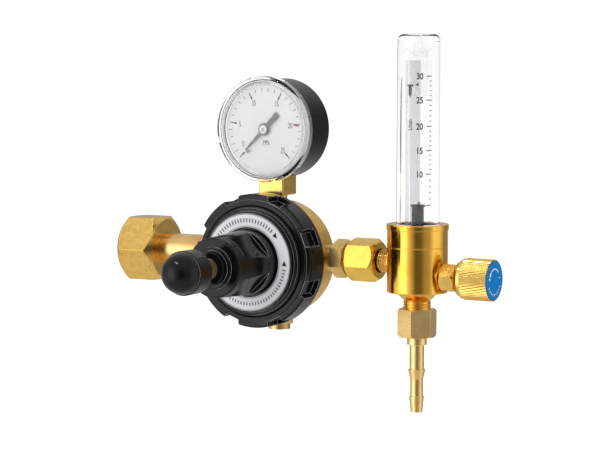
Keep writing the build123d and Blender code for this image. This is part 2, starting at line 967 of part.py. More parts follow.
def make_flow_body():
    body = turned(
        [
            (hose_thread_end, 0),
            (hose_thread_end, hose_thread_radius, edge),
            (flow_bottom - cone_height, hose_thread_radius),
            (flow_bottom, cone_radius),
            (flow_bottom, flow_radius, flow_edge),
            (flow_top - lip_height, flow_radius),
            (flow_top - lip_height, lip_radius),
            (flow_top, lip_radius, flow_edge),
            (flow_top, 0),
        ]
    )
    body -= rod(
        line_height - line_width / 2, line_height + line_width / 2, lip_radius, flow_radius - line_depth
    )
    body -= rod(socket_floor, flow_top, socket_radius)
    body -= rod(pocket_floor, socket_floor, pocket_radius)
    body -= rod(0, pocket_floor, outlet_passage_radius)
    body -= rod(hose_thread_end, -valve_drop, outlet_passage_radius)
    body -= Pos(0, -return_passage_reach, 0) * rod(-valve_drop, socket_floor, return_passage_radius)
    body = flow_axis * body
    body -= port_axis * rod(outlet_reach - flow_radius - cut_beyond, tail_end, tail_radius)
    body -= port_axis * rod(tail_end, outlet_reach, low_passage_radius)
    body -= valve_axis * rod(valve_pad_reach, flow_radius + cut_beyond, valve_pad_radius)
    body -= valve_axis * rod(gland_thread_start, valve_pad_reach, gland_thread_radius)
    body -= valve_axis * rod(needle_seat_reach, gland_thread_start, needle_chamber_radius)
    body -= valve_axis * rod(0, needle_seat_reach, needle_seat_radius)
    return body


# Flow meter tubes, float, stop, holder and seals
outer_tube_bottom = socket_floor + 2 * outer_seal_section + face_gap
metering_bottom = pocket_floor + tube_seal_thickness
roof_under = outer_tube_top - outer_tube_roof


def make_outer_tube():
    inner = socket_radius - outer_tube_wall
    inner_top = outer_tube_top_radius - outer_tube_wall
    return flow_axis * turned(
        [
            (outer_tube_bottom, inner),
            (outer_tube_bottom, socket_radius),
            (flow_top, socket_radius),
            (outer_tube_top, outer_tube_top_radius, outer_tube_edge),
            (outer_tube_top, 0),
            (roof_under, 0),
            (roof_under, inner_top, fine_edge),
            (flow_top, inner),
        ]
    )


def make_outer_seal():
    at = socket_floor + outer_seal_section + face_gap / 2
    return flow_axis * o_ring(at, outer_seal_radius, outer_seal_section)


def make_metering_tube():
    return flow_axis * turned(
        [
            (metering_bottom, metering_bore_bottom),
            (metering_bottom, metering_radius),
            (metering_top, metering_radius),
            (metering_top, metering_bore_top),
        ]
    )


def make_tube_seal():
    return flow_axis * rod(pocket_floor, metering_bottom, metering_radius, tube_seal_inner)


def make_float_stop():
    return flow_axis * rod(pocket_floor, float_rest, float_stop_radius, float_stop_hole)


def make_float():
    top = float_rest + float_height
    return flow_axis * turned(
        [
            (float_rest, 0),
            (float_rest, float_tip_radius),
            (float_rest + float_tip, float_radius),
            (top - float_rim, float_radius),
            (top - float_rim, float_rim_radius),
            (top, float_rim_radius),
            (top, 0),
        ]
    )


def make_tube_holder():
    """A plug in the metering tube's top, with fins that centre it in the outer tube."""
    flange_top = metering_top + holder_flange
    holder = rod(metering_top - holder_plug, metering_top, holder_plug_radius)
    holder += rod(metering_top, flange_top, holder_flange_radius)
    holder += rod(flange_top, roof_under, holder_post_radius)
    hole = Pos(0, holder_hole_reach, 0) * rod(metering_top - holder_plug, flange_top, holder_hole_radius)
    for cutter in around(hole, holder_hole_count):
        holder -= cutter
    fin_start = metering_top - holder_fin_hang
    fin_height = roof_under - fin_start
    fin_width = holder_fin_outer - holder_fin_inner
    fin = Pos(fin_start + fin_height / 2, holder_fin_inner + fin_width / 2, 0) * Box(
        fin_height, fin_width, holder_fin_width
    )
    sleeve = rod(fin_start, metering_top, metering_radius + running_gap)
    for plate in around(fin, holder_fin_count, holder_first_fin):
        holder += plate - sleeve
    return flow_axis * holder


# Flow valve: gland, spindle with its seal, knurled knob and disc
gland_hex_end = valve_pad_reach + gland_hex
gland_end = gland_hex_end + gland_nose
flow_knob_start = gland_end + flow_knob_gap
flow_knob_end = flow_knob_start + flow_knob_length


def make_flow_gland():
    gland = rod(gland_thread_start, valve_pad_reach, gland_thread_radius)
    gland += hexagon(gland_af, valve_pad_reach, gland_hex_end, gland_turn, gland_chamfer, gland_chamfer)
    gland += rod(gland_hex_end, gland_end, gland_nose_radius)
    gland -= rod(gland_thread_start, seal_chamber_end, seal_chamber_radius)
    gland -= rod(seal_chamber_end, gland_end, spindle_radius + running_gap)
    return valve_axis * gland


def make_spindle_seal():
    mean = spindle_groove_radius + spindle_seal_section + seal_gap
    return valve_axis * o_ring(spindle_seal_reach, mean, spindle_seal_section)


def make_flow_spindle():
    # the needle's 45 degree cone stands just clear of the seat's edge
    tip = needle_seat_reach - (needle_seat_radius - needle_end_radius) + running_gap
    half_groove = spindle_seal_section + face_gap
    return valve_axis * turned(
        [
            (tip, 0),
            (tip, needle_end_radius),
            (tip + spindle_radius - needle_end_radius, spindle_radius),
            (spindle_seal_reach - half_groove, spindle_radius),
            (spindle_seal_reach - half_groove, spindle_groove_radius),
            (spindle_seal_reach + half_groove, spindle_groove_radius),
            (spindle_seal_reach + half_groove, spindle_radius),
            (flow_knob_start + spindle_in_knob, spindle_radius),
            (flow_knob_start + spindle_in_knob, 0),
        ]
    )


def knurl_section(turn):
    """A ridged round section in the YZ plane: each ridge is one point out and one point in."""
    points = []
    for i in range(2 * knurl_count):
        radius = flow_knob_radius - (i % 2) * knurl_depth
        angle = radians(turn + 180 * i / knurl_count)
        points.append((radius * cos(angle), radius * sin(angle)))
    return make_face(Polyline(*points, close=True))


def make_flow_knob():
    knurl_start = flow_knob_start + flow_knob_collar
    sections = []
    for i in range(knurl_steps + 1):
        along = knurl_start + (flow_knob_end - knurl_start) * i / knurl_steps
        sections.append(Plane.YZ.offset(along) * knurl_section(-knurl_twist * i / knurl_steps))
    knob = loft(sections, ruled=True)
    knob += turned(
        [
            (flow_knob_start, 0),
            (flow_knob_start, flow_knob_cone_radius),
            (flow_knob_start + flow_knob_cone, flow_knob_collar_radius),
            (knurl_start, flow_knob_collar_radius),
            (knurl_start, 0),
        ]
    )
    knob -= rod(flow_knob_start, flow_knob_start + spindle_in_knob, spindle_radius)
    disc_back = flow_knob_end + knob_disc_proud - knob_disc_thickness
    knob -= rod(disc_back, flow_knob_end, knob_disc_radius)
    return valve_axis * knob


def make_knob_disc():
    end = flow_knob_end + knob_disc_proud
    return valve_axis * rod(end - knob_disc_thickness, end, knob_disc_radius)


# Hose nut and barbed tail
hose_nut_bottom = hose_nut_top - hose_nut_height
hose_wall_top = hose_nut_bottom + hose_nut_wall


def make_hose_nut():
    nut = hexagon(hose_af, hose_nut_bottom, hose_nut_top, hose_turn, hose_chamfer, hose_chamfer)
    nut -= rod(hose_wall_top, hose_nut_top, hose_thread_radius)
    nut -= rod(hose_nut_bottom, hose_wall_top, tail_collar_radius + face_gap)
    return flow_axis * nut


def make_hose_barb():
    barb = turned(
        [
            (hose_thread_end, barb_bore_radius),
            (hose_thread_end, hose_thread_radius - face_gap),
            (hose_wall_top, hose_thread_radius - face_gap),
            (hose_wall_top, tail_collar_radius),
            (tail_collar_end, tail_collar_radius, fine_edge),
            (tail_collar_end, barb_stem_radius),
            (first_barb, barb_stem_radius),
            (first_barb, first_barb_radius, barb_edge),
            (first_barb - first_barb_length, barb_neck_radius),
            (second_barb, barb_neck_radius),
            (second_barb, second_barb_radius, barb_edge),
            (hose_tip, hose_tip_radius, fine_edge),
            (hose_tip, barb_bore_radius),
        ]
    )
    return flow_axis * barb


pieces = {
    "inlet_union_nut": make_inlet_union_nut,
    "inlet_nipple": make_inlet_nipple,
    "inlet_gasket": make_inlet_gasket,
    "inlet_filter": make_inlet_filter,
    "regulator_body": make_regulator_body,
    "valve_seat": make_valve_seat,
    "reducing_valve": make_reducing_valve,
    "valve_spring": make_valve_spring,
    "valve_plug": make_valve_plug,
    "diaphragm": make_diaphragm,
    "diaphragm_plate": make_diaphragm_plate,
    "adjusting_spring": make_adjusting_spring,
    "spring_plate": make_spring_plate,
    "bonnet": make_bonnet,
    "bonnet_insert": make_bonnet_insert,
    "label_ring": make_label_ring,
    "clamp_ring": make_clamp_ring,
    "adjusting_screw": make_adjusting_screw,
    "adjusting_knob": make_adjusting_knob,
    "relief_body": make_relief_body,
    "relief_poppet": make_relief_poppet,
    "relief_spring": make_relief_spring,
    "relief_cap": make_relief_cap,
    "gauge_socket": make_gauge_socket,
    "gauge_gasket": make_gauge_gasket,
    "gauge_case": make_gauge_case,
    "gauge_window": make_gauge_window,
    "gauge_dial": make_gauge_dial,
    "gauge_pointer": make_gauge_pointer,
    "bourdon_tube": make_bourdon_tube,
    "gauge_movement": make_gauge_movement,
    "outlet_fitting": make_outlet_fitting,
    "outlet_union_nut": make_outlet_union_nut,
    "outlet_tail": make_outlet_tail,
    "flow_body": make_flow_body,
    "outer_tube": make_outer_tube,
    "outer_seal": make_outer_seal,
    "metering_tube": make_metering_tube,
    "tube_seal": make_tube_seal,
    "float_stop": make_float_stop,
    "float": make_float,
    "tube_holder": make_tube_holder,
    "flow_gland": make_flow_gland,
    "spindle_seal": make_spindle_seal,
    "flow_spindle": make_flow_spindle,
    "flow_knob": make_flow_knob,
    "knob_disc": make_knob_disc,
    "hose_nut": make_hose_nut,
    "hose_barb": make_hose_barb,
}

os.makedirs("parts", exist_ok=True)
for name, make in pieces.items():
    export_step(make(), f"parts/{name}.step")
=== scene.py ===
# %% [markdown]
# # Dressing a welding-gas flow regulator
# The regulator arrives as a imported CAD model: brass fittings, a black bonnet with its knob,
# a round gauge, and a flow meter whose clear tube stands on a polished brass body. This
# notebook keeps those solids as they are and adds what a camera would see on the real one:
# finishes, fine threads, the printed dial and scales, and a bright product-photo studio.

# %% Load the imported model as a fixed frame
import bpy
import bmesh
import json
import math
from mathutils import Matrix, Vector


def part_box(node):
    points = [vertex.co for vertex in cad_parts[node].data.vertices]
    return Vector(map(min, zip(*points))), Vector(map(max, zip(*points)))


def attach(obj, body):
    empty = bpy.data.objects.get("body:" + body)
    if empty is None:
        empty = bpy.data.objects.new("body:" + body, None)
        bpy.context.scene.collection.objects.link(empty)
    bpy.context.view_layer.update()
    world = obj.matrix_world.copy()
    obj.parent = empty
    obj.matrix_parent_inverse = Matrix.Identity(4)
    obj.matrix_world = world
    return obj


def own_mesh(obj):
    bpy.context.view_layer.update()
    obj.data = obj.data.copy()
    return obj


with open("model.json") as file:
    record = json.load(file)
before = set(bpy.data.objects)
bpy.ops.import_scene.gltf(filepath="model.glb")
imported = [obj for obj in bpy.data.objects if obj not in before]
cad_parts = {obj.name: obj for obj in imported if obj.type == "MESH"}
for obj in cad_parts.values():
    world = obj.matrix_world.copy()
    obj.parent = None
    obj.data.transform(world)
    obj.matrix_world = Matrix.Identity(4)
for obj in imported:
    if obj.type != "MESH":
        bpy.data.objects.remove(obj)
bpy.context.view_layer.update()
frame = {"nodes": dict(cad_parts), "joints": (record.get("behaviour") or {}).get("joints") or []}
nodes = frame["nodes"]

# %% [markdown]
# Most added pieces hang on a few axes: the adjusting axis of the regulator, the centre of the
# gauge, the inlet and outlet, and the upright and the valve axis of the flow meter. The
# joints of the model already know where the turning parts stand, so the axes are read from
# them. Blender works in metres, and a small factor turns millimetres into metres. A local
# frame is a matrix whose X runs out along the axis.

# %% Axes of the object
MM = 0.001
pivots = {joint["name"]: Vector(joint["pos_m"]) for joint in frame["joints"] if "pos_m" in joint}
turning_joints = ("adjusting_screw_turn", "gauge_pointer_turn", "flow_knob_turn")
adjusting, gauge, valve = (pivots[name] for name in turning_joints)


def axis_frame(origin, along, up):
    """A matrix with local X along the axis and local Z towards up, both in world directions."""
    x = Vector(along).normalized()
    z = Vector(up).normalized()
    y = z.cross(x)
    turn = Matrix((x, y, z)).transposed().to_4x4()
    return Matrix.Translation(Vector(origin)) @ turn


front, right, upward = (0, -1, 0), (1, 0, 0), (0, 0, 1)
main_frame = axis_frame((adjusting.x, 0, adjusting.z), front, upward)
gauge_frame = axis_frame((gauge.x, 0, gauge.z), front, upward)
port_frame = axis_frame((adjusting.x, 0, 0), right, upward)
inlet_frame = axis_frame((0, 0, 0), right, upward)
flow_frame = axis_frame((valve.x, 0, 0), upward, front)
valve_frame = axis_frame((valve.x, 0, valve.z), right, upward)
print("regulator axis at x", adjusting.x, "and flow meter axis at x", valve.x)

# %% [markdown]
# The finishes, the room and the printed marks are all node trees. Small helpers, for sums,
# for colour ramps and for mixing shaders, keep the node code readable. A sum works in a
# shader tree and in a geometry tree alike. One more helper links a new object to the scene.

# %% Helpers for nodes and objects
def new_object(name, data):
    made = bpy.data.objects.new(name, data)
    bpy.context.scene.collection.objects.link(made)
    return made


def feed(tree, socket, value):
    """Links an output to a socket, or gives the socket a plain value."""
    if isinstance(value, bpy.types.NodeSocket):
        tree.links.new(value, socket)
    else:
        socket.default_value = value


def math_node(tree, operation, a, b=None, c=None, clamp=False):
    node = tree.nodes.new("ShaderNodeMath")
    node.operation = operation
    node.use_clamp = clamp
    for index, value in enumerate((a, b, c)):
        if value is not None:
            feed(tree, node.inputs[index], value)
    return node.outputs[0]


def ramp_node(tree, fac, stops):
    node = tree.nodes.new("ShaderNodeValToRGB")
    elements = node.color_ramp.elements
    while len(elements) < len(stops):
        elements.new(1.0)
    for element, (position, color) in zip(elements, stops):
        element.position = position
        if isinstance(color, (int, float)):
            color = (color, color, color)
        element.color = (*color, 1.0)
    tree.links.new(fac, node.inputs["Fac"])
    return node.outputs["Color"]


def mix_shaders(tree, factor, first, second):
    node = tree.nodes.new("ShaderNodeMixShader")
    for index, value in enumerate((factor, first, second)):
        tree.links.new(value, node.inputs[index])
    return node.outputs[0]


print("node helpers ready")

# %% [markdown]
# Product photographs of metal are mostly photographs of the room: a bright panel to the left
# front, a dark gap behind the camera, another panel to the right. A node world can paint that
# room by direction. It answers each kind of ray in its own way: camera and transmission rays
# see plain white, diffuse rays an even grey, and mirror-like rays the bands of panels. Such a
# world is only sampled by the rays that meet it, because aimed samples have no kind.

# %% Paint the room into the world
# brightness by direction: degrees round from the front, towards the right side
room_bands = [
    (-180, 0.45), (-122, 0.45), (-84, 0.45), (-70, 0.95), (-54, 1.15), (-46, 2.1), (-20, 2.1),
    (-10, 1.0), (4, 0.55), (19, 0.13), (39, 0.15), (54, 0.36), (74, 0.48), (90, 1.05),
    (112, 1.0), (130, 0.6), (144, 0.27), (166, 0.27), (180, 0.45),
]
brightest = max(level for degrees, level in room_bands)
ceiling_level, even_level, seen_level = 0.72, 0.68, 1.0
# from straight down to straight up: the bands show round the horizon, the ceiling above and below
ceiling_share = [(0.0, 1.0), (0.16, 1.0), (0.38, 0.0), (0.62, 0.0), (0.84, 1.0), (1.0, 1.0)]

world = bpy.data.worlds.new("studio")
bpy.context.scene.world = world
world.use_nodes = True
world.cycles.sampling_method = "NONE"
room = world.node_tree
room.nodes.clear()
direction = room.nodes.new("ShaderNodeTexCoord").outputs["Generated"]
parts = room.nodes.new("ShaderNodeSeparateXYZ")
room.links.new(direction, parts.inputs[0])
toward = math_node(room, "MULTIPLY", parts.outputs["Y"], -1.0)
around_room = math_node(room, "ARCTAN2", parts.outputs["X"], toward)
turn = math_node(room, "MULTIPLY_ADD", around_room, 0.5 / math.pi, 0.5)
bands = ramp_node(room, turn, [(degrees / 360 + 0.5, level / brightest) for degrees, level in room_bands])
height = math_node(room, "MULTIPLY_ADD", parts.outputs["Z"], 0.5, 0.5)
away = ramp_node(room, height, ceiling_share)
mirror_light = room.nodes.new("ShaderNodeMix")
mirror_light.data_type = "RGBA"
room.links.new(away, mirror_light.inputs["Factor"])
room.links.new(bands, mirror_light.inputs["A"])
overhead = ceiling_level / brightest
mirror_light.inputs["B"].default_value = (overhead, overhead, overhead, 1)
paths = room.nodes.new("ShaderNodeLightPath")
white_seen = math_node(room, "MAXIMUM", paths.outputs["Is Camera Ray"], paths.outputs["Is Transmission Ray"])


def background(color, strength):
    node = room.nodes.new("ShaderNodeBackground")
    node.inputs["Strength"].default_value = strength
    feed(room, node.inputs["Color"], color)
    return node.outputs[0]


even = background((1, 1, 1, 1), even_level)
mirrored = background(mirror_light.outputs["Result"], brightest)
seen = background((1, 1, 1, 1), seen_level)
lit = mix_shaders(room, paths.outputs["Is Glossy Ray"], even, mirrored)
world_out = room.nodes.new("ShaderNodeOutputWorld")
room.links.new(mix_shaders(room, white_seen, lit, seen), world_out.inputs["Surface"])
print("world with", len(room_bands), "brightness stops")

# %% [markdown]
# Two large soft lamps stand in the same places as the panels, so that the shading agrees
# with the reflections. They are weak, because most light comes from the white room, and
# mirror-like rays don't see them, because the room's bands already show there. A third,
# small lamp overhead is seen in the black mouldings as thin bright lines along their edges.

# %% Place the soft lamps
def soft_lamp(name, place, aim, size, power, in_mirrors):
    data = bpy.data.lights.new(name, "AREA")
    data.shape = "RECTANGLE"
    data.size, data.size_y = size
    data.energy = power
    lamp = new_object(name, data)
    lamp.location = place
    lamp.rotation_euler = (Vector(aim) - Vector(place)).to_track_quat("-Z", "Y").to_euler()
    lamp.visible_glossy = in_mirrors


middle = (0.11, 0, 0.02)
# name, place and size in metres, watts, and whether mirror-like rays see it
lamps = (
    ("left_panel", (-0.75, -1.1, 0.75), (0.9, 0.9), 8, False),
    ("right_panel", (1.35, -0.1, 0.6), (0.7, 0.9), 4, False),
    ("edge_strip", (-0.25, -0.75, 1.25), (0.5, 0.05), 3.5, True),
)
for name, place, size, watts, in_mirrors in lamps:
    soft_lamp(name, place, middle, size, watts, in_mirrors)
print(len(lamps), "lamps placed")

# %% [markdown]
# The floor is plain and pale. For the camera it has to come out as white as the room
# behind it, and still take the object's shadow, so a glow seen only by camera and glass
# rays is added to a matte white, and puts no light on the object. Mirror-like rays pass
# through the floor, because the bands of the room go on below it.

# %% Lay the floor
floor_level, floor_reach = -0.16, 6.0
floor_grey, floor_glow = 0.86, 0.5
corners = [(-1, -1), (1, -1), (1, 1), (-1, 1)]
floor_points = [(x * floor_reach, y * floor_reach, floor_level) for x, y in corners]
floor_mesh = bpy.data.meshes.new("floor")
floor_mesh.from_pydata(floor_points, [], [(0, 1, 2, 3)])
floor = new_object("floor", floor_mesh)
floor_paint = bpy.data.materials.new("floor_paint")
floor_paint.use_nodes = True
floor_paint.cycles.emission_sampling = "NONE"
paint = floor_paint.node_tree
paint.nodes.clear()
matte = paint.nodes.new("ShaderNodeBsdfDiffuse")
matte.inputs["Color"].default_value = (floor_grey, floor_grey, floor_grey, 1)
glow = paint.nodes.new("ShaderNodeEmission")
rays = paint.nodes.new("ShaderNodeLightPath")
straight = math_node(paint, "MAXIMUM", rays.outputs["Is Camera Ray"], rays.outputs["Is Transmission Ray"])
paint.links.new(math_node(paint, "MULTIPLY", straight, floor_glow), glow.inputs["Strength"])
both = paint.nodes.new("ShaderNodeAddShader")
paint.links.new(matte.outputs[0], both.inputs[0])
paint.links.new(glow.outputs[0], both.inputs[1])
floor_out = paint.nodes.new("ShaderNodeOutputMaterial")
paint.links.new(both.outputs[0], floor_out.inputs["Surface"])
floor_mesh.materials.append(floor_paint)
floor.visible_glossy = False
bpy.context.scene.view_settings.view_transform = "Standard"
print("floor at", floor_level)

# %% [markdown]
# The camera stands about 29 degrees round to the right and 5 degrees up, with a long lens
# from over a metre away, which keeps the round gauge and the hexagons nearly free of
# perspective. Its place is worked out from those angles.

# %% Set up the camera
image_width = 600


def place_camera(target, azimuth, elevation, roll, distance, focal_pixels):
    a, e, r = (math.radians(angle) for angle in (azimuth, elevation, roll))
    back = Vector((math.sin(a) * math.cos(e), -math.cos(a) * math.cos(e), math.sin(e)))
    level = Vector((math.cos(a), math.sin(a), 0))
    up = back.cross(level)
    across = level * math.cos(r) + up * math.sin(r)
    up = up * math.cos(r) - level * math.sin(r)
    data = bpy.data.cameras.new("camera")
    data.sensor_fit = "HORIZONTAL"
    data.sensor_width = 36
    data.lens = focal_pixels / image_width * data.sensor_width
    data.clip_start, data.clip_end = 0.05, 50
    camera = new_object("camera", data)
    turned = Matrix((across, up, back)).transposed().to_4x4()
    camera.matrix_world = Matrix.Translation(target + back * distance) @ turned
    bpy.context.scene.camera = camera
    return data.lens


aim_point = Vector((99.93, 0, 15.61)) * MM
fitted_azimuth, fitted_elevation, fitted_roll = 29.17, 5.05, 0.145
fitted_distance, fitted_focal = 1.2507, 2485.5
lens = place_camera(aim_point, fitted_azimuth, fitted_elevation, fitted_roll, fitted_distance, fitted_focal)
print("lens", round(lens, 1), "mm")

# %% [markdown]
# Three effects are shared by many finishes, so each is a shader node group with named
# sockets. The first makes tool marks. Turned brass shows fine rings and a sawn hexagon bar
# shows long faint strokes: both are noise squeezed along one direction. It also gives broad
# patches, for the places where fingers and air have changed the colour.

# %% Make the tool-mark group
def new_group(name, inputs, outputs):
    group = bpy.data.node_groups.new(name, "ShaderNodeTree")
    for label, kind, default in inputs:
        socket = group.interface.new_socket(label, in_out="INPUT", socket_type="NodeSocket" + kind)
        if default is not None:
            socket.default_value = default
    for label, kind in outputs:
        group.interface.new_socket(label, in_out="OUTPUT", socket_type="NodeSocket" + kind)
    return group, group.nodes.new("NodeGroupInput").outputs, group.nodes.new("NodeGroupOutput").inputs


def noise_node(tree, vector, scale, detail=2.0, roughness=0.5):
    node = tree.nodes.new("ShaderNodeTexNoise")
    tree.links.new(vector, node.inputs["Vector"])
    feed(tree, node.inputs["Scale"], scale)
    node.inputs["Detail"].default_value = detail
    node.inputs["Roughness"].default_value = roughness
    return node.outputs["Fac"]


tool_marks, given, result = new_group(
    "tool_marks",
    [("Vector", "Vector", None), ("Along", "Float", 4000.0),
     ("Across", "Float", 120.0), ("Patch Scale", "Float", 90.0)],
    [("Marks", "Float"), ("Patches", "Float")],
)
split = tool_marks.nodes.new("ShaderNodeSeparateXYZ")
tool_marks.links.new(given["Vector"], split.inputs[0])
joined = tool_marks.nodes.new("ShaderNodeCombineXYZ")
for axis, squeeze in (("X", "Along"), ("Y", "Across"), ("Z", "Across")):
    squeezed = math_node(tool_marks, "MULTIPLY", split.outputs[axis], given[squeeze])
    tool_marks.links.new(squeezed, joined.inputs[axis])
fine_marks = noise_node(tool_marks, joined.outputs[0], 1.0, 3.0, 0.6)
broad_patches = noise_node(tool_marks, given["Vector"], given["Patch Scale"], 4.0, 0.6)
tool_marks.links.new(fine_marks, result["Marks"])
tool_marks.links.new(broad_patches, result["Patches"])
print("group", tool_marks.name)

# %% [markdown]
# The second group makes grain: a fine and a broad noise, for the skin of mouldings, paint
# and rubber. The third finds edges. No real edge is perfectly sharp, and a thin line of
# light on it tells the eye so. A Bevel node bends the normal near an edge, and the angle
# between the bent and the true normal is a mask of the edges: on brass it marks where hands
# and tools rub, on the black mouldings it places a painted highlight.

# %% Make the grain and edge groups
grain, given, result = new_group(
    "grain",
    [("Vector", "Vector", None), ("Fine Scale", "Float", 2600.0),
     ("Broad Scale", "Float", 130.0)],
    [("Fine", "Float"), ("Broad", "Float")],
)
grain.links.new(noise_node(grain, given["Vector"], given["Fine Scale"], 2.0, 0.6), result["Fine"])
grain.links.new(noise_node(grain, given["Vector"], given["Broad Scale"], 3.0, 0.5), result["Broad"])

soft_edge, given, result = new_group(
    "soft_edge",
    [("Radius", "Float", 0.3 * MM)],
    [("Normal", "Vector"), ("Edge", "Float")],
)
bevel_node = soft_edge.nodes.new("ShaderNodeBevel")
bevel_node.samples = 6
soft_edge.links.new(given["Radius"], bevel_node.inputs["Radius"])
soft_edge.links.new(bevel_node.outputs[0], result["Normal"])
true_normal = soft_edge.nodes.new("ShaderNodeNewGeometry").outputs["Normal"]
agreement = soft_edge.nodes.new("ShaderNodeVectorMath")
agreement.operation = "DOT_PRODUCT"
soft_edge.links.new(bevel_node.outputs[0], agreement.inputs[0])
soft_edge.links.new(true_normal, agreement.inputs[1])
bent = math_node(soft_edge, "SUBTRACT", 1.0, agreement.outputs["Value"])
edge_gain, edge_floor = 8.0, -0.16
edge_mask = math_node(soft_edge, "MULTIPLY_ADD", bent, edge_gain, edge_floor, clamp=True)
soft_edge.links.new(edge_mask, result["Edge"])
print("groups", grain.name, "and", soft_edge.name)

# %% [markdown]
# A material helper starts every finish in the same way: a Principled shader with plain
# values, the tool or grain group on Object coordinates, and the soft edges. The coordinates
# are moved so that their X runs along a piece's own axis, because a lathe leaves its rings
# square to that axis.

# %% Make the material helpers
def new_material(name, color, roughness, metallic=0.0, bevel=0.0, **plain):
    made = bpy.data.materials.new(name)
    made.use_nodes = True
    made.diffuse_color = (*color, 1.0)
    shader = made.node_tree.nodes["Principled BSDF"]
    shader.inputs["Base Color"].default_value = (*color, 1.0)
    shader.inputs["Roughness"].default_value = roughness
    shader.inputs["Metallic"].default_value = metallic
    for label, value in plain.items():
        shader.inputs[label.replace("_", " ")].default_value = value
    edges = None
    if bevel:
        edges = place_group(made.node_tree, soft_edge, Radius=bevel * MM)
        made.node_tree.links.new(edges["Normal"], shader.inputs["Normal"])
    return made, made.node_tree, shader, edges


def place_group(tree, group, **values):
    node = tree.nodes.new("ShaderNodeGroup")
    node.node_tree = group
    for label, value in values.items():
        feed(tree, node.inputs[label.replace("_", " ")], value)
    return node.outputs


def object_vector(tree, frame_matrix=None):
    """Object coordinates, moved so that their X runs along a piece's own axis."""
    coordinates = tree.nodes.new("ShaderNodeTexCoord").outputs["Object"]
    if frame_matrix is None:
        return coordinates
    inverse = frame_matrix.inverted()
    mapping = tree.nodes.new("ShaderNodeMapping")
    mapping.inputs["Location"].default_value = inverse.to_translation()
    mapping.inputs["Rotation"].default_value = inverse.to_euler()
    tree.links.new(coordinates, mapping.inputs["Vector"])
    return mapping.outputs[0]


def bump(tree, shader, height, strength, distance, normal=None):
    node = tree.nodes.new("ShaderNodeBump")
    node.inputs["Strength"].default_value = strength
    node.inputs["Distance"].default_value = distance * MM
    tree.links.new(height, node.inputs["Height"])
    if normal is not None:
        tree.links.new(normal, node.inputs["Normal"])
    tree.links.new(node.outputs[0], shader.inputs["Normal"])


def mix_colors(tree, factor, first, second):
    node = tree.nodes.new("ShaderNodeMix")
    node.data_type = "RGBA"
    for socket, value in (("Factor", factor), ("A", first), ("B", second)):
        feed(tree, node.inputs[socket], (*value, 1.0) if isinstance(value, tuple) else value)
    return node.outputs["Result"]


painted = set()


def paint_nodes(material, *names):
    """Gives CAD nodes their finish, and remembers them."""
    for name in names:
        slots = nodes[name].data.materials
        slots.clear()
        slots.append(material)
        painted.add(name)


print("material helpers ready")

# %% [markdown]
# The fittings are brass with a satin machined skin. Their colour wanders a little between a
# lemon and a browner gold where fingers and air have touched them, the tool marks break up
# the reflections, and the edges are rubbed bright. The pattern turns with each piece's axis.

# %% Satin brass for the fittings
def brass(name, frame_matrix, bright, dull, roughness, along=3500.0, across=160.0, mark_height=0.012,
          bevel=0.3, patch_scale=90.0):
    made, tree, shader, edges = new_material(name, bright, roughness, 1.0, bevel)
    vector = object_vector(tree, frame_matrix)
    marks = place_group(tree, tool_marks, Vector=vector, Along=along, Across=across, Patch_Scale=patch_scale)
    tint = ramp_node(tree, marks["Patches"], [(0.38, dull), (0.6, bright)])
    edge_lightening = tuple(min(1.0, channel * 1.12) for channel in bright)
    tree.links.new(mix_colors(tree, edges["Edge"], tint, edge_lightening), shader.inputs["Base Color"])
    rough = math_node(tree, "MULTIPLY_ADD", marks["Marks"], 0.16, roughness - 0.08)
    tree.links.new(rough, shader.inputs["Roughness"])
    bump(tree, shader, marks["Marks"], 0.5, mark_height, edges["Normal"])
    return made


satin_bright, satin_dull = (0.90, 0.585, 0.16), (0.78, 0.47, 0.12)
wide_patches, patch_scales = 90.0, {"brass_inlet": 420.0}
# name, axis, bright and dull colour, roughness, and the nodes that wear it
satin_brasses = (
    ("brass_inlet", inlet_frame, satin_bright, satin_dull, 0.24, "inlet_union_nut"),
    ("brass_nipple", inlet_frame, (0.84, 0.55, 0.22), (0.70, 0.42, 0.16), 0.22, "inlet_nipple"),
    ("brass_outlet", port_frame, (0.95, 0.62, 0.1), (0.84, 0.48, 0.08), 0.18, "outlet_union_nut"),
    ("brass_fitting", port_frame, (0.85, 0.60, 0.22), (0.70, 0.46, 0.15), 0.38, "outlet_fitting"),
    ("brass_tail", port_frame, (0.80, 0.52, 0.13), (0.60, 0.36, 0.08), 0.2, "outlet_tail"),
    ("brass_hose", flow_frame, (0.97, 0.68, 0.27), (0.88, 0.57, 0.21), 0.28, "hose_nut", "hose_barb"),
    ("brass_main", main_frame, satin_bright, satin_dull, 0.3,
     "regulator_body", "bonnet_insert", "valve_plug", "valve_seat", "reducing_valve"),
    ("brass_stem", flow_frame, (0.86, 0.60, 0.17), (0.74, 0.48, 0.12), 0.22, "gauge_socket", "float_stop"),
    ("brass_relief", flow_frame, (0.76, 0.50, 0.19), (0.58, 0.36, 0.14), 0.3,
     "relief_body", "relief_cap", "relief_poppet"),
)
satin = {}
for name, axis_matrix, bright, dull, roughness, *wearers in satin_brasses:
    patches = patch_scales.get(name, wide_patches)
    satin[name] = brass(name, axis_matrix, bright, dull, roughness, patch_scale=patches)
    paint_nodes(satin[name], *wearers)
print("finishes on", len(painted), "nodes")

# %% [markdown]
# The flow meter's body and knob are polished and lacquered: a deeper, redder gold with a
# sharp mirror. Only a trace of the turning rings is left under the shine.

# %% Polished brass for the flow meter
gold_upright = brass("gold_upright", flow_frame, (0.95, 0.55, 0.09), (0.88, 0.47, 0.06), 0.12,
                     along=6000.0, across=60.0, mark_height=0.003)
gold_valve = brass("gold_valve", valve_frame, (0.86, 0.58, 0.16), (0.74, 0.46, 0.11), 0.16,
                   along=5000.0, across=90.0, mark_height=0.002, bevel=0.08)
paint_nodes(gold_upright, "flow_body")
paint_nodes(gold_valve, "flow_gland", "flow_knob", "flow_spindle")
print("finishes on", len(painted), "nodes")

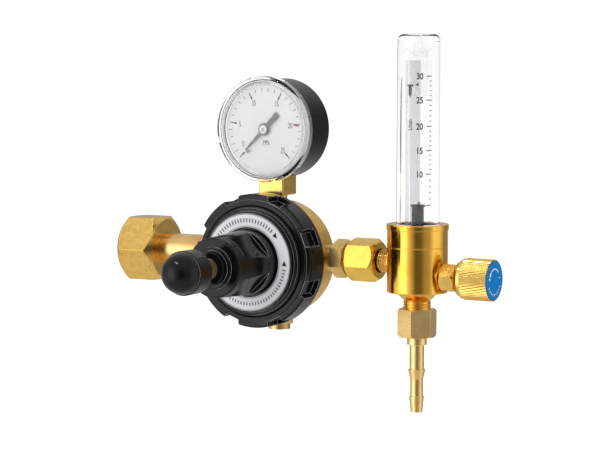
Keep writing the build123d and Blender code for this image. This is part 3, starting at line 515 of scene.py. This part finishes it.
# %% [markdown]
# The adjusting screw's thread is cut into the rod, and it runs through its bush, so ridges
# laid on top of the rod would cut the bush. Its thread is a height on the surface instead:
# a wave along the axis that shifts by one pitch for each turn round it is a helix.

# %% Cut the adjusting screw's thread with a bump
def helical_bump(made, frame_matrix, pitch, depth):
    tree = made.node_tree
    shader = tree.nodes["Principled BSDF"]
    place = tree.nodes.new("ShaderNodeSeparateXYZ")
    tree.links.new(object_vector(tree, frame_matrix), place.inputs[0])
    round_axis = math_node(tree, "ARCTAN2", place.outputs["Z"], place.outputs["Y"])
    winding = math_node(tree, "MULTIPLY_ADD", place.outputs["X"], 2 * math.pi / (pitch * MM), 0.0)
    wave = math_node(tree, "SINE", math_node(tree, "SUBTRACT", winding, round_axis))
    bump(tree, shader, wave, 1.0, depth)
    return made


screw_pitch, screw_depth = 1.5, 0.35
# the rod is much darker than the other brass: painted shade, for the shadow that the knob casts over the
# screw
threaded_rod = brass("threaded_rod", main_frame, (0.42, 0.30, 0.16), (0.26, 0.18, 0.10), 0.3)
paint_nodes(helical_bump(threaded_rod, main_frame, screw_pitch, screw_depth), "adjusting_screw")
print("adjusting screw threaded at pitch", screw_pitch, "mm")

# %% [markdown]
# The bonnet, its clamp ring and the knob are moulded in black nylon, the gauge case in a
# glossier plastic. Such mouldings have a very fine leathery skin, seen only as a soft
# break-up of the highlights. Along their edges a pale grey is painted into the colour in
# broken patches, as a painted highlight.

# %% Black moulded plastic
def moulded(name, color, roughness, grain_strength, edge_grey, bevel):
    made, tree, shader, edges = new_material(name, color, roughness, 0.0, bevel, Specular_IOR_Level=0.25)
    skin = place_group(tree, grain, Vector=object_vector(tree))
    rough = math_node(tree, "MULTIPLY_ADD", skin["Broad"], 0.12, roughness - 0.06)
    tree.links.new(rough, shader.inputs["Roughness"])
    # painted highlight: a pale grey mixed into the colour along the edges, broken up by broad noise
    edge_lightening = math_node(tree, "MULTIPLY_ADD", skin["Broad"], 0.8, 0.2, clamp=True)
    painted_edge_highlight = math_node(tree, "MULTIPLY", edges["Edge"], edge_lightening)
    tree.links.new(mix_colors(tree, painted_edge_highlight, color, (edge_grey,) * 3), shader.inputs["Base Color"])
    bump(tree, shader, skin["Fine"], grain_strength, 0.02, edges["Normal"])
    return made


# the pale edge grey of each moulding is painted highlight
black_nylon = moulded("black_nylon", (0.0035, 0.0035, 0.004), 0.15, grain_strength=0.08,
                      edge_grey=0.85, bevel=0.35)
black_gloss = moulded("black_gloss", (0.003, 0.003, 0.0035), 0.08, grain_strength=0.02,
                      edge_grey=0.3, bevel=0.4)
paint_nodes(black_nylon, "bonnet", "clamp_ring", "adjusting_knob")
paint_nodes(black_gloss, "gauge_case")
print("finishes on", len(painted), "nodes")

# %% [markdown]
# The gauge window, the two tubes and the inner tube's holder are clear plastic. Real wall
# thickness is in the CAD, so a transmitting shader with about the refractive index of acrylic
# bends the light in the window and the outer tube as real walls do. The inner tube and its
# holder have a lower index, and the holder is partly see-through, so that the edges of walls
# inside walls stay faint. A little waviness from moulding breaks up the highlights.

# %% Clear plastic
def clear(name, color, roughness, wave, **plain):
    made, tree, shader, _ = new_material(name, color, roughness, Transmission_Weight=1.0, **plain)
    skin = place_group(tree, grain, Vector=object_vector(tree), Broad_Scale=60.0)
    bump(tree, shader, skin["Broad"], wave, 0.05)
    return made


paint_nodes(clear("clear_tube", (0.985, 0.992, 0.995), 0.01, 0.05, IOR=1.45), "outer_tube")
paint_nodes(clear("clear_inner", (0.99, 0.99, 0.99), 0.01, 0.02, IOR=1.12), "metering_tube")
paint_nodes(clear("clear_holder", (0.99, 0.99, 0.99), 0.02, 0.02, IOR=1.2, Alpha=0.35), "tube_holder")
paint_nodes(clear("clear_window", (0.985, 0.99, 0.99), 0.015, 0.06, IOR=1.49), "gauge_window")
print("finishes on", len(painted), "nodes")

# %% [markdown]
# Plain finishes for the rest: the white dial, grey pointer, dark float, silver label, blue
# disc, rubber rings, and the steel inside. Each still has a little variation of its own.

# %% Small finishes
def speckled(name, color, roughness, metallic=0.0, amount=0.06, scale=400.0, bevel=0.0, **plain):
    made, tree, shader, _ = new_material(name, color, roughness, metallic, bevel, **plain)
    skin = place_group(tree, grain, Vector=object_vector(tree), Fine_Scale=scale)
    rough = math_node(tree, "MULTIPLY_ADD", skin["Fine"], 2 * amount, roughness - amount)
    tree.links.new(rough, shader.inputs["Roughness"])
    darker = tuple(c * (1 - amount) for c in color)
    tree.links.new(ramp_node(tree, skin["Fine"], [(0.3, darker), (0.7, color)]), shader.inputs["Base Color"])
    return made


paint_nodes(speckled("dial_white", (0.97, 0.97, 0.96), 0.45, amount=0.02), "gauge_dial")
paint_nodes(speckled("pointer_grey", (0.17, 0.17, 0.17), 0.4, amount=0.05, bevel=0.1), "gauge_pointer")
paint_nodes(speckled("float_dark", (0.05, 0.055, 0.06), 0.35, amount=0.1, bevel=0.15), "float")
paint_nodes(speckled("label_silver", (0.78, 0.79, 0.81), 0.34, amount=0.04, scale=900.0), "label_ring")
disc_blue = speckled("disc_blue", (0.002, 0.19, 0.52), 0.5, amount=0.05, bevel=0.2, Specular_IOR_Level=0.05)
paint_nodes(disc_blue, "knob_disc")
bronze = speckled("sintered_bronze", (0.42, 0.27, 0.12), 0.6, metallic=0.9, amount=0.3, scale=3000.0)
paint_nodes(bronze, "inlet_filter")
rubber = speckled("rubber", (0.03, 0.03, 0.03), 0.7, amount=0.1)
paint_nodes(rubber, "inlet_gasket", "diaphragm", "outer_seal", "tube_seal", "spindle_seal", "gauge_gasket")
steel = speckled("spring_steel", (0.55, 0.55, 0.56), 0.3, metallic=1.0, amount=0.08)
paint_nodes(steel, "adjusting_spring", "valve_spring", "relief_spring", "spring_plate", "diaphragm_plate")
paint_nodes(steel, "gauge_movement", "bourdon_tube")
print("nodes without a finish:", sorted(set(nodes) - painted))

# %% [markdown]
# Printed marks and threads repeat, so small Geometry Nodes trees grow them. Each tree is
# built here with named inputs. `grow` hangs a tree on an empty mesh, or on one it is given,
# sets its inputs by socket identifier, and keeps only the evaluated result as a plain mesh:
# geometry, with nothing live on it.

# %% Helpers that build and run a Geometry Nodes tree
def new_tree(name, inputs):
    tree = bpy.data.node_groups.new(name, "GeometryNodeTree")
    for label, kind, default in [*inputs, ("Material", "Material", None)]:
        socket = tree.interface.new_socket(label, in_out="INPUT", socket_type="NodeSocket" + kind)
        if default is not None:
            socket.default_value = default
    tree.interface.new_socket("Geometry", in_out="OUTPUT", socket_type="NodeSocketGeometry")
    return tree, tree.nodes.new("NodeGroupInput").outputs


def add(tree, kind, links=(), **settings):
    """A node with its properties set, and each named or numbered input linked or given a value."""
    node = tree.nodes.new(kind)
    for label, value in settings.items():
        setattr(node, label, value)
    for socket, value in dict(links).items():
        feed(tree, node.inputs[socket], value)
    return node.outputs


def circle_point(tree, angle, radius):
    """Radius times the cosine and the sine of an angle, as two sockets."""
    return [math_node(tree, "MULTIPLY", math_node(tree, wave, angle), radius) for wave in ("COSINE", "SINE")]


def end_tree(tree, given, geometry):
    """Realize Instances and Set Material close every tree."""
    real = add(tree, "GeometryNodeRealizeInstances", {"Geometry": geometry})["Geometry"]
    finished = add(tree, "GeometryNodeSetMaterial", {"Geometry": real, "Material": given["Material"]})
    add(tree, "NodeGroupOutput", {"Geometry": finished["Geometry"]})


def plain_mesh(holder):
    """The evaluated shape of an object as a plain mesh."""
    return bpy.data.meshes.new_from_object(holder.evaluated_get(bpy.context.evaluated_depsgraph_get()))


def grow(tree, material, start=None, **sizes):
    mesh = start or bpy.data.meshes.new(tree.name)
    holder = new_object(tree.name, mesh)
    modifier = holder.modifiers.new("grow", "NODES")
    modifier.node_group = tree
    sizes["Material"] = material
    for item in tree.interface.items_tree:
        if item.in_out == "INPUT" and item.name.replace(" ", "_") in sizes:
            modifier[item.identifier] = sizes[item.name.replace(" ", "_")]
    grown = plain_mesh(holder)
    bpy.data.objects.remove(holder)
    return grown


def join_meshes(name, meshes, placed=None, outward=False):
    joined = bmesh.new()
    for mesh in meshes:
        joined.from_mesh(mesh)
    if placed is not None:
        bmesh.ops.transform(joined, matrix=placed, verts=joined.verts)
    if outward:
        bmesh.ops.recalc_face_normals(joined, faces=joined.faces)
    final = bpy.data.meshes.new(name)
    joined.to_mesh(final)
    joined.free()
    return final


def finish_piece(name, meshes, material, body, placed):
    """Joins meshes into one piece at the origin, gives it its finish and hangs it on its body."""
    final = join_meshes(name, meshes, placed, outward=True)
    final.materials.clear()
    final.materials.append(material)
    for face in final.polygons:
        face.material_index = 0
    piece = new_object(name, final)
    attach(piece, body)
    print(name, "with", len(final.polygons), "faces on", body)


print("tree helpers ready")

# %% [markdown]
# A thread is one ridge that climbs a rod by a pitch for each turn. The tree bends a straight
# curve into a helix with Set Position, where the share of the way along the curve gives both
# the angle and the climb, and sweeps a small diamond along it. Half of the diamond lies in
# the rod, so the crest and the flanks are what stays to be seen.

# %% Grow the fine threads
thread_tree, given = new_tree("thread", [
    ("Radius", "Float", 0.005), ("Pitch", "Float", 0.001),
    ("Turns", "Float", 4.0), ("Ridge", "Float", 0.0005),
    ("Points", "Int", 100)])
line = add(thread_tree, "GeometryNodeCurvePrimitiveLine")["Curve"]
line = add(thread_tree, "GeometryNodeResampleCurve", {"Curve": line, "Count": given["Points"]})["Curve"]
share = add(thread_tree, "GeometryNodeSplineParameter")["Factor"]
turned = math_node(thread_tree, "MULTIPLY", share, given["Turns"])
angle = math_node(thread_tree, "MULTIPLY", turned, 2 * math.pi)
climb = math_node(thread_tree, "MULTIPLY", turned, given["Pitch"])
x, y = circle_point(thread_tree, angle, given["Radius"])
place = add(thread_tree, "ShaderNodeCombineXYZ", {"X": x, "Y": y, "Z": climb})["Vector"]
helix = add(thread_tree, "GeometryNodeSetPosition", {"Geometry": line, "Position": place})["Geometry"]
helix = add(thread_tree, "GeometryNodeSetCurveNormal", {"Curve": helix}, mode="Z_UP")["Curve"]
diamond = add(thread_tree, "GeometryNodeCurvePrimitiveCircle", {"Resolution": 4, "Radius": given["Ridge"]})
swept = {"Curve": helix, "Profile Curve": diamond["Curve"], "Fill Caps": True}
end_tree(thread_tree, given, add(thread_tree, "GeometryNodeCurveToMesh", swept)["Mesh"])

upright = Matrix.Rotation(math.radians(90), 4, "Y")
points_per_turn = 48


def thread(name, frame_matrix, start, length, radius, pitch, ridge, material):
    """A right-handed thread round a local X axis, from start along it, in millimetres."""
    turns = length / pitch
    mesh = grow(thread_tree, material, Radius=radius * MM, Pitch=pitch * MM, Turns=turns,
                Ridge=ridge * MM, Points=round(turns * points_per_turn))
    along = Matrix.Translation((start * MM, 0, 0)) @ upright
    finish_piece(name, [mesh], material, "regulator", frame_matrix @ along)


fine_pitch = 1.25
thread("outlet_tail_thread", port_frame, start=58.9, length=4.8, radius=5.1, pitch=fine_pitch,
       ridge=0.55, material=satin["brass_tail"])
thread("hose_thread", flow_frame, start=-22.2, length=3.4, radius=6.6, pitch=fine_pitch,
       ridge=0.4, material=gold_upright)

# %% [markdown]
# The dial is printed on white metal. A tick ring is one small bar placed again and again
# round a circle: the tree makes points whose place and turn follow from their number in
# the row, and puts the bar on each of them. The same tree serves the short ticks of every
# unit, the long ticks of every fifth one, and the marks round the label and the knob.

# %% A tree for rings of ticks
tick_ring, given = new_tree("tick_ring", [
    ("Count", "Int", 10), ("First", "Float", 0.0),
    ("Step", "Float", 0.1), ("Radius", "Float", 0.01),
    ("Size", "Vector", (0.001, 0.001, 0.001))])
order = add(tick_ring, "GeometryNodeInputIndex")["Index"]
angle = math_node(tick_ring, "MULTIPLY_ADD", order, given["Step"], given["First"])
x, y = circle_point(tick_ring, angle, given["Radius"])
place = add(tick_ring, "ShaderNodeCombineXYZ", {"X": x, "Y": y})["Vector"]
points = add(tick_ring, "GeometryNodePoints", {"Count": given["Count"], "Position": place})["Points"]
facing = add(tick_ring, "ShaderNodeCombineXYZ", {"Z": angle})["Vector"]
bar = add(tick_ring, "GeometryNodeMeshCube", {"Size": given["Size"]})["Mesh"]
placing = {"Points": points, "Instance": bar, "Rotation": facing}
end_tree(tick_ring, given, add(tick_ring, "GeometryNodeInstanceOnPoints", placing)["Instances"])


def ticks(material, first, step, count, inner, outer, width, thickness=0.04):
    """Bars from the inner to the outer radius, in millimetres, turned by degrees."""
    size = (Vector((outer - inner, width, thickness)) * MM).to_tuple()
    return grow(tick_ring, material, Count=count, First=math.radians(first), Step=math.radians(step),
                Radius=(inner + outer) / 2 * MM, Size=size)


print("tree", tick_ring.name)

# %% [markdown]
# Numbers come from Blender's own font. A text object is turned into a mesh at once and only
# then moved to its place, narrowed a little, because dials use condensed figures. Flat
# marks, such as a ring, an arc or an arrow head, are drawn as an outline and given the same
# small thickness as the ink.

# %% Helpers for figures and flat marks
ink = 0.04


def figures(text, height, center, narrow=0.62, turn=0.0, bold=0.0):
    """Text as a thin solid, centred on a point of the local plane, in millimetres."""
    curve = bpy.data.curves.new("figures", "FONT")
    curve.body = text
    curve.align_x = "CENTER"
    curve.size = 1.0
    curve.extrude = ink / 2 * MM
    curve.offset = bold
    curve.resolution_u = 3
    holder = new_object("figures", curve)
    mesh = plain_mesh(holder)
    bpy.data.objects.remove(holder)
    low = min(vertex.co.y for vertex in mesh.vertices)
    high = max(vertex.co.y for vertex in mesh.vertices)
    scale = height * MM / (high - low)
    middle = Matrix.Translation((0, -(low + high) / 2, 0))
    sized = Matrix.Diagonal((scale * narrow, scale, 1, 1)) @ middle
    shift = Matrix.Translation((center[0] * MM, center[1] * MM, 0))
    mesh.transform(shift @ Matrix.Rotation(math.radians(turn), 4, "Z") @ sized)
    return mesh


def flat_mark(outline):
    """A thin solid over a closed outline of local points, in millimetres, counterclockwise."""
    count = len(outline)
    half = ink / 2
    points = [(x * MM, y * MM, z * MM) for z in (-half, half) for x, y in outline]
    sides = [(i, (i + 1) % count, (i + 1) % count + count, i + count) for i in range(count)]
    mesh = bpy.data.meshes.new("mark")
    mesh.from_pydata(points, [], [tuple(reversed(range(count))), tuple(range(count, 2 * count)), *sides])
    return mesh


def on_circle(radius, degrees):
    return radius * math.cos(math.radians(degrees)), radius * math.sin(math.radians(degrees))


def arc_mark(radius, width, first, last, steps=48):
    """A band along part of a circle, as a strip of solid cells, so it also closes as a full ring."""
    angles = [first + (last - first) * i / steps for i in range(steps + 1)]
    inner, outer = radius - width / 2, radius + width / 2
    rows = [(inner, -1), (outer, -1), (outer, 1), (inner, 1)]
    points = [(*(c * MM for c in on_circle(r, a)), side * ink / 2 * MM) for a in angles for r, side in rows]
    faces = [(4 * i + j, 4 * i + (j + 1) % 4, 4 * i + 4 + (j + 1) % 4, 4 * i + 4 + j)
             for i in range(steps) for j in range(4)]
    whole = abs(last - first) >= 360
    if not whole:
        faces += [(0, 1, 2, 3), tuple(4 * steps + j for j in (3, 2, 1, 0))]
    mesh = bpy.data.meshes.new("arc")
    mesh.from_pydata(points, [], faces)
    if whole:
        joined = bmesh.new()
        joined.from_mesh(mesh)
        bmesh.ops.remove_doubles(joined, verts=joined.verts, dist=1e-7)
        joined.to_mesh(mesh)
        joined.free()
    return mesh


def arrow_head(radius, degrees, size, clockwise):
    """A triangle at the end of an arc, pointing along it."""
    lead = -1 if clockwise else 1
    tip = on_circle(radius, degrees + lead * math.degrees(size / radius))
    sides = [on_circle(radius - size / 2, degrees), on_circle(radius + size / 2, degrees)]
    outline = [tip, *sides]
    return flat_mark(outline if not clockwise else outline[::-1])


def face_frame(axis_matrix, reach):
    """Local X to the right, Y up and Z out, on a face at a distance along the axis, in millimetres."""
    turn = Matrix(((0, 0, 1), (1, 0, 0), (0, 1, 0))).to_4x4()
    return axis_matrix @ Matrix.Translation((reach * MM, 0, 0)) @ turn


def disc_mark(radius, center=(0, 0), steps=40):
    outline = [on_circle(radius, 360 * i / steps) for i in range(steps)]
    return flat_mark([(x + center[0], y + center[1]) for x, y in outline])


print("figure and mark helpers ready")

# %% [markdown]
# The dial has a short tick for every unit, a longer one with a broad inner end for every
# fifth, condensed figures, the unit below the hub, and one red mark. The zero stands at the
# lower left and the scale runs clockwise over three quarters of a turn.

# %% Print the gauge dial
black_ink = speckled("black_ink", (0.012, 0.012, 0.013), 0.5, amount=0.05)
red_ink = speckled("red_ink", (0.55, 0.02, 0.04), 0.5, amount=0.05)
white_ink = speckled("white_ink", (0.88, 0.88, 0.87), 0.4, amount=0.03)

dial_zero, dial_sweep, dial_top, dial_major = 225.0, 270.0, 25, 5
dial_step = -dial_sweep / dial_top
dial_thickness = 0.8
dial_face = -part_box("gauge_dial")[1].y / MM + dial_thickness + 1.5 * ink
figure_radius, figure_height = 14.6, 2.9
zero_figure_turn = -14.0
fifth_step, fifth_count = dial_step * dial_major, dial_top // dial_major + 1
unit_ticks = ticks(black_ink, dial_zero, dial_step, dial_top + 1, inner=18.9, outer=20.5, width=0.28)
fifth_ticks = ticks(black_ink, dial_zero, fifth_step, fifth_count, inner=16.6, outer=20.2, width=0.42)
spear_ticks = ticks(black_ink, dial_zero, fifth_step, fifth_count, inner=16.6, outer=18.2, width=0.8)
unit_text = figures("MPa", height=2.4, center=(0.8, -6.6))
dial_print = [unit_ticks, fifth_ticks, spear_ticks, unit_text]
for value in range(0, dial_top + 1, dial_major):
    beside_pointer = zero_figure_turn if value == 0 else 0.0
    spot = on_circle(figure_radius, dial_zero + dial_step * value + beside_pointer)
    dial_print.append(figures(str(value), figure_height, spot))
dial_place = face_frame(gauge_frame, dial_face)
finish_piece("dial_print", dial_print, black_ink, "regulator", dial_place)
red_value, red_past_tick = 20.0, 2.2
red_angle = dial_zero + dial_step * red_value - red_past_tick
red_mark = ticks(red_ink, red_angle, 1, 1, inner=17.6, outer=19.9, width=0.75)
finish_piece("dial_limit_mark", [red_mark], red_ink, "regulator", dial_place)

# %% [markdown]
# A pale sealing ring lies on the rim of the case under the window, and a small grey sleeve
# covers the end of the pin that stops the pointer at zero. The pin is part of the dial, so
# its place is read from the dial's own points: those well in front of the printed face.

# %% Seal the rim and sleeve the stop pin
seal_radius, seal_width, case_rim = 24.2, 0.8, 13.3
sleeve_radius, above_dial = 1.1, 1.0
seal_place = face_frame(gauge_frame, case_rim + 1.5 * ink)
seal_white = speckled("seal_white", (0.72, 0.73, 0.74), 0.5, amount=0.04)
rim_seal = [arc_mark(seal_radius, seal_width, 0, 360, 96)]
finish_piece("rim_seal", rim_seal, seal_white, "regulator", seal_place)
pin_points = [v.co for v in nodes["gauge_dial"].data.vertices if -v.co.y / MM > dial_face + above_dial]
pin_spot = sum(pin_points, Vector()) / len(pin_points)
pin_center = ((pin_spot.x - gauge.x) / MM, (pin_spot.z - gauge.z) / MM)
pin_place = face_frame(gauge_frame, -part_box("gauge_dial")[0].y / MM + ink)
sleeve = [disc_mark(sleeve_radius, pin_center, 24)]
pin_grey = speckled("pin_grey", (0.30, 0.30, 0.30), 0.45, amount=0.05)
finish_piece("stop_pin_sleeve", sleeve, pin_grey, "regulator", pin_place)

# %% [markdown]
# The pointer's hub carries a white cap with a small ring printed in its middle. Cap and
# ring turn with the pointer.

# %% Cap the pointer
hub_face = -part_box("gauge_pointer")[0].y / MM
cap_radius, ring_radius, ring_width = 2.15, 0.62, 0.22
cap_place = face_frame(gauge_frame, hub_face + ink)
ring_place = face_frame(gauge_frame, hub_face + 2.2 * ink)
cap_ring = [arc_mark(ring_radius, ring_width, 0, 360, 24)]
finish_piece("pointer_cap", [disc_mark(cap_radius)], white_ink, "pointer", cap_place)
finish_piece("pointer_cap_ring", cap_ring, black_ink, "pointer", ring_place)

# %% [markdown]
# The silver label ring tells which way to turn the knob. It is given plain marks: two fine
# border rings, a row of turn ticks over the top and one over the lower right, each with a
# plus or a minus at its start and an arrow head at its end.

# %% Mark the label ring
label_place = face_frame(main_frame, -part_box("label_ring")[0].y / MM + ink)
label_middle, label_tick_width, sign_bar = 20.9, 0.55, 1.6
border_radii, border_width = (17.95, 23.9), 0.18


def turn_row(first, last, step, half_height, sign, clockwise):
    """Ticks along the label's middle, with a sign before the first and an arrow head at the end."""
    count = int(abs(last - first) / step) + 1
    lead = -step if clockwise else step
    low, high = label_middle - half_height, label_middle + half_height
    row = [ticks(black_ink, first, lead, count, low, high, label_tick_width)]
    row.append(arrow_head(label_middle, first + lead * (count + 0.3), 2.6, clockwise))
    spot = first - lead * 2.2
    thin, long = sign_bar / 4, sign_bar / 2
    row.append(ticks(black_ink, spot, 1, 1, label_middle - thin, label_middle + thin, sign_bar))
    if sign == "+":
        row.append(ticks(black_ink, spot, 1, 1, label_middle - long, label_middle + long, long))
    return row


label_marks = [arc_mark(radius, border_width, 0, 360, 96) for radius in border_radii]
label_marks += turn_row(142.0, 50.0, step=4.6, half_height=1.0, sign="+", clockwise=True)
label_marks += turn_row(-128.0, -8.0, step=4.6, half_height=0.8, sign="-", clockwise=False)
finish_piece("label_marks", label_marks, black_ink, "regulator", label_place)

# %% [markdown]
# The blue disc in the flow knob has white marks: a curved arrow that says which way opens
# the valve, a plus at its head and a minus at its tail, and a row of ticks on the far side.
# They turn with the knob.

# %% Mark the knob's disc
disc_place = face_frame(valve_frame, (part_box("knob_disc")[1].x - valve.x) / MM + ink)
arc_radius, arc_width, arc_end = 5.6, 0.5, 38.0
sign_angle, arrow_size = 10.0, 1.9
plus_place = on_circle(arc_radius, 180 - sign_angle)
minus_place = on_circle(arc_radius, sign_angle)
disc_marks = [
    arc_mark(arc_radius, arc_width, arc_end, 180 - arc_end),
    arrow_head(arc_radius, 180 - arc_end, arrow_size, False),
    figures("+", height=2.0, center=plus_place, narrow=1.0),
    figures("-", height=0.5, center=minus_place, narrow=0.8),
    ticks(white_ink, first=-150.0, step=15.0, count=9, inner=6.4, outer=7.6, width=0.4),
]
finish_piece("disc_marks", disc_marks, white_ink, "flow_control", disc_place)

# %% [markdown]
# A print on a round tube is drawn flat first, with its zero line where the middle of the
# print will be. A tree then wraps it: sideways distance turns into an angle, and the small
# thickness of the ink into distance from the tube's axis.

# %% A tree that wraps a flat print round a tube
wrap_tree, given = new_tree("wrap_print", [
    ("Print", "Geometry", None), ("Radius", "Float", 0.006)])
flat = add(wrap_tree, "ShaderNodeSeparateXYZ", {0: add(wrap_tree, "GeometryNodeInputPosition")["Position"]})
angle = math_node(wrap_tree, "DIVIDE", flat["X"], given["Radius"])
reach = math_node(wrap_tree, "ADD", flat["Z"], given["Radius"])
toward_user, x = circle_point(wrap_tree, angle, reach)
y = math_node(wrap_tree, "MULTIPLY", toward_user, -1.0)
round_tube = add(wrap_tree, "ShaderNodeCombineXYZ", {"X": x, "Y": y, "Z": flat["Y"]})["Vector"]
moved = {"Geometry": given["Print"], "Position": round_tube}
end_tree(wrap_tree, given, add(wrap_tree, "GeometryNodeSetPosition", moved)["Geometry"])
print("tree", wrap_tree.name)

# %% [markdown]
# The flow scale is printed on the metering tube. The tube is tapered inside, so the marks
# aren't evenly spaced: only the numbered heights are given, and the rows between are worked
# out. A small float with a triangle at its top edge shows where to read.

# %% Print the flow scale
tube_radius = 6.5
print_reach = (tube_radius + 1.5 * ink) * MM
scale_turn = 30.0
number_height, number_width, number_bold = 3.3, 0.75, 0.03
thick_tick, thin_tick = 0.5, 0.42
scale_heights = {5: 28.7, 10: 43.9, 15: 55.4, 20: 67.2, 25: 80.0, 30: 91.6}
tick_left, tick_right, fine_left = 3.6, 7.6, 5.4


def bar_cells(left, right, height, width):
    """A horizontal bar cut into short cells, so that it can bend round the tube."""
    cells = 6
    steps = [left + (right - left) * i / cells for i in range(cells + 1)]
    low, high = height - width / 2, height + width / 2
    return flat_mark([(s, low) for s in steps] + [(s, high) for s in reversed(steps)])


def flow_height(value):
    """Height of a flow value, between the numbered marks on each side of it."""
    low = max(mark for mark in scale_heights if mark <= value)
    high = min((mark for mark in scale_heights if mark > low), default=low)
    if high == low:
        return scale_heights[low]
    share = (value - low) / (high - low)
    return scale_heights[low] + share * (scale_heights[high] - scale_heights[low])


scale_print = []
for value in range(min(scale_heights), max(scale_heights) + 1):
    numbered = value in scale_heights
    left = tick_left if numbered else fine_left
    scale_print.append(bar_cells(left, tick_right, flow_height(value), thick_tick if numbered else thin_tick))
    if numbered:
        spot = (0.2, flow_height(value))
        scale_print.append(figures(str(value), number_height, spot, number_width, bold=number_bold))
icon_x, icon_top = -4.6, 87.6
icon_outlines = (
    [(-1.7, -1.0), (1.7, -1.0), (1.7, 0), (-1.7, 0)],
    [(-0.9, -4.6), (0, -6.6), (0.9, -4.6), (0.9, -1.0), (-0.9, -1.0)],
    [(2.4, 0), (4.2, -0.8), (4.2, 0.8)],
)
for outline in icon_outlines:
    scale_print.append(flat_mark([(icon_x + x, icon_top + y) for x, y in outline]))
unit_center = (icon_x, 68.0)
scale_print.append(figures("L/min", 2.3, unit_center, narrow=0.8, turn=90.0, bold=number_bold))
flat_mesh = join_meshes("flat_scale", scale_print)
round_print = grow(wrap_tree, black_ink, start=flat_mesh, Radius=print_reach)
tube_place = Matrix.Translation((valve.x, 0, 0)) @ Matrix.Rotation(math.radians(scale_turn), 4, "Z")
finish_piece("flow_scale", [round_print], black_ink, "regulator", tube_place)

# %% [markdown]
# A pale strip runs up the back of the metering tube behind the float, as many such tubes
# have it, so that the dark float shows. It is wrapped by the same tree, on the far side.

# %% Print the strip behind the float
strip_low, strip_high = 17.0, 99.0
strip_near, strip_far, strip_columns = -1.5, 7.4, 18
strip_wide = strip_far - strip_near
strip_steps = [strip_near + strip_wide * i / strip_columns for i in range(strip_columns + 1)]
upward_side = [(s, strip_high) for s in reversed(strip_steps)]
strip = flat_mark([(s, strip_low) for s in strip_steps] + upward_side)
strip_grey = speckled("strip_grey", (0.75, 0.76, 0.77), 0.6, amount=0.03, Alpha=0.24)
round_strip = grow(wrap_tree, strip_grey, start=strip, Radius=print_reach)
behind = Matrix.Rotation(math.radians(scale_turn + 180), 4, "Z")
back_place = Matrix.Translation((valve.x, 0, 0)) @ behind
finish_piece("float_background", [round_strip], strip_grey, "regulator", back_place)

# %% [markdown]
# The three coil springs inside shorten when the part that rests on them moves. Here each is
# only given its own copy of its mesh; the table pairs it with the joint that moves that part
# and the direction of its travel.

# %% Give each spring its own mesh
inward, downward = (0, 1, 0), (0, 0, -1)
springs = (
    ("adjusting_spring", "spring_plate_slide", inward),
    ("valve_spring", "valve_lift", inward),
    ("relief_spring", "relief_lift", downward),
)
for name, joint, axis in springs:
    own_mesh(nodes[name])

# %% [markdown]
# Dressing should hardly change the size of the part.

# %% End of the dressing
print("dressing done")
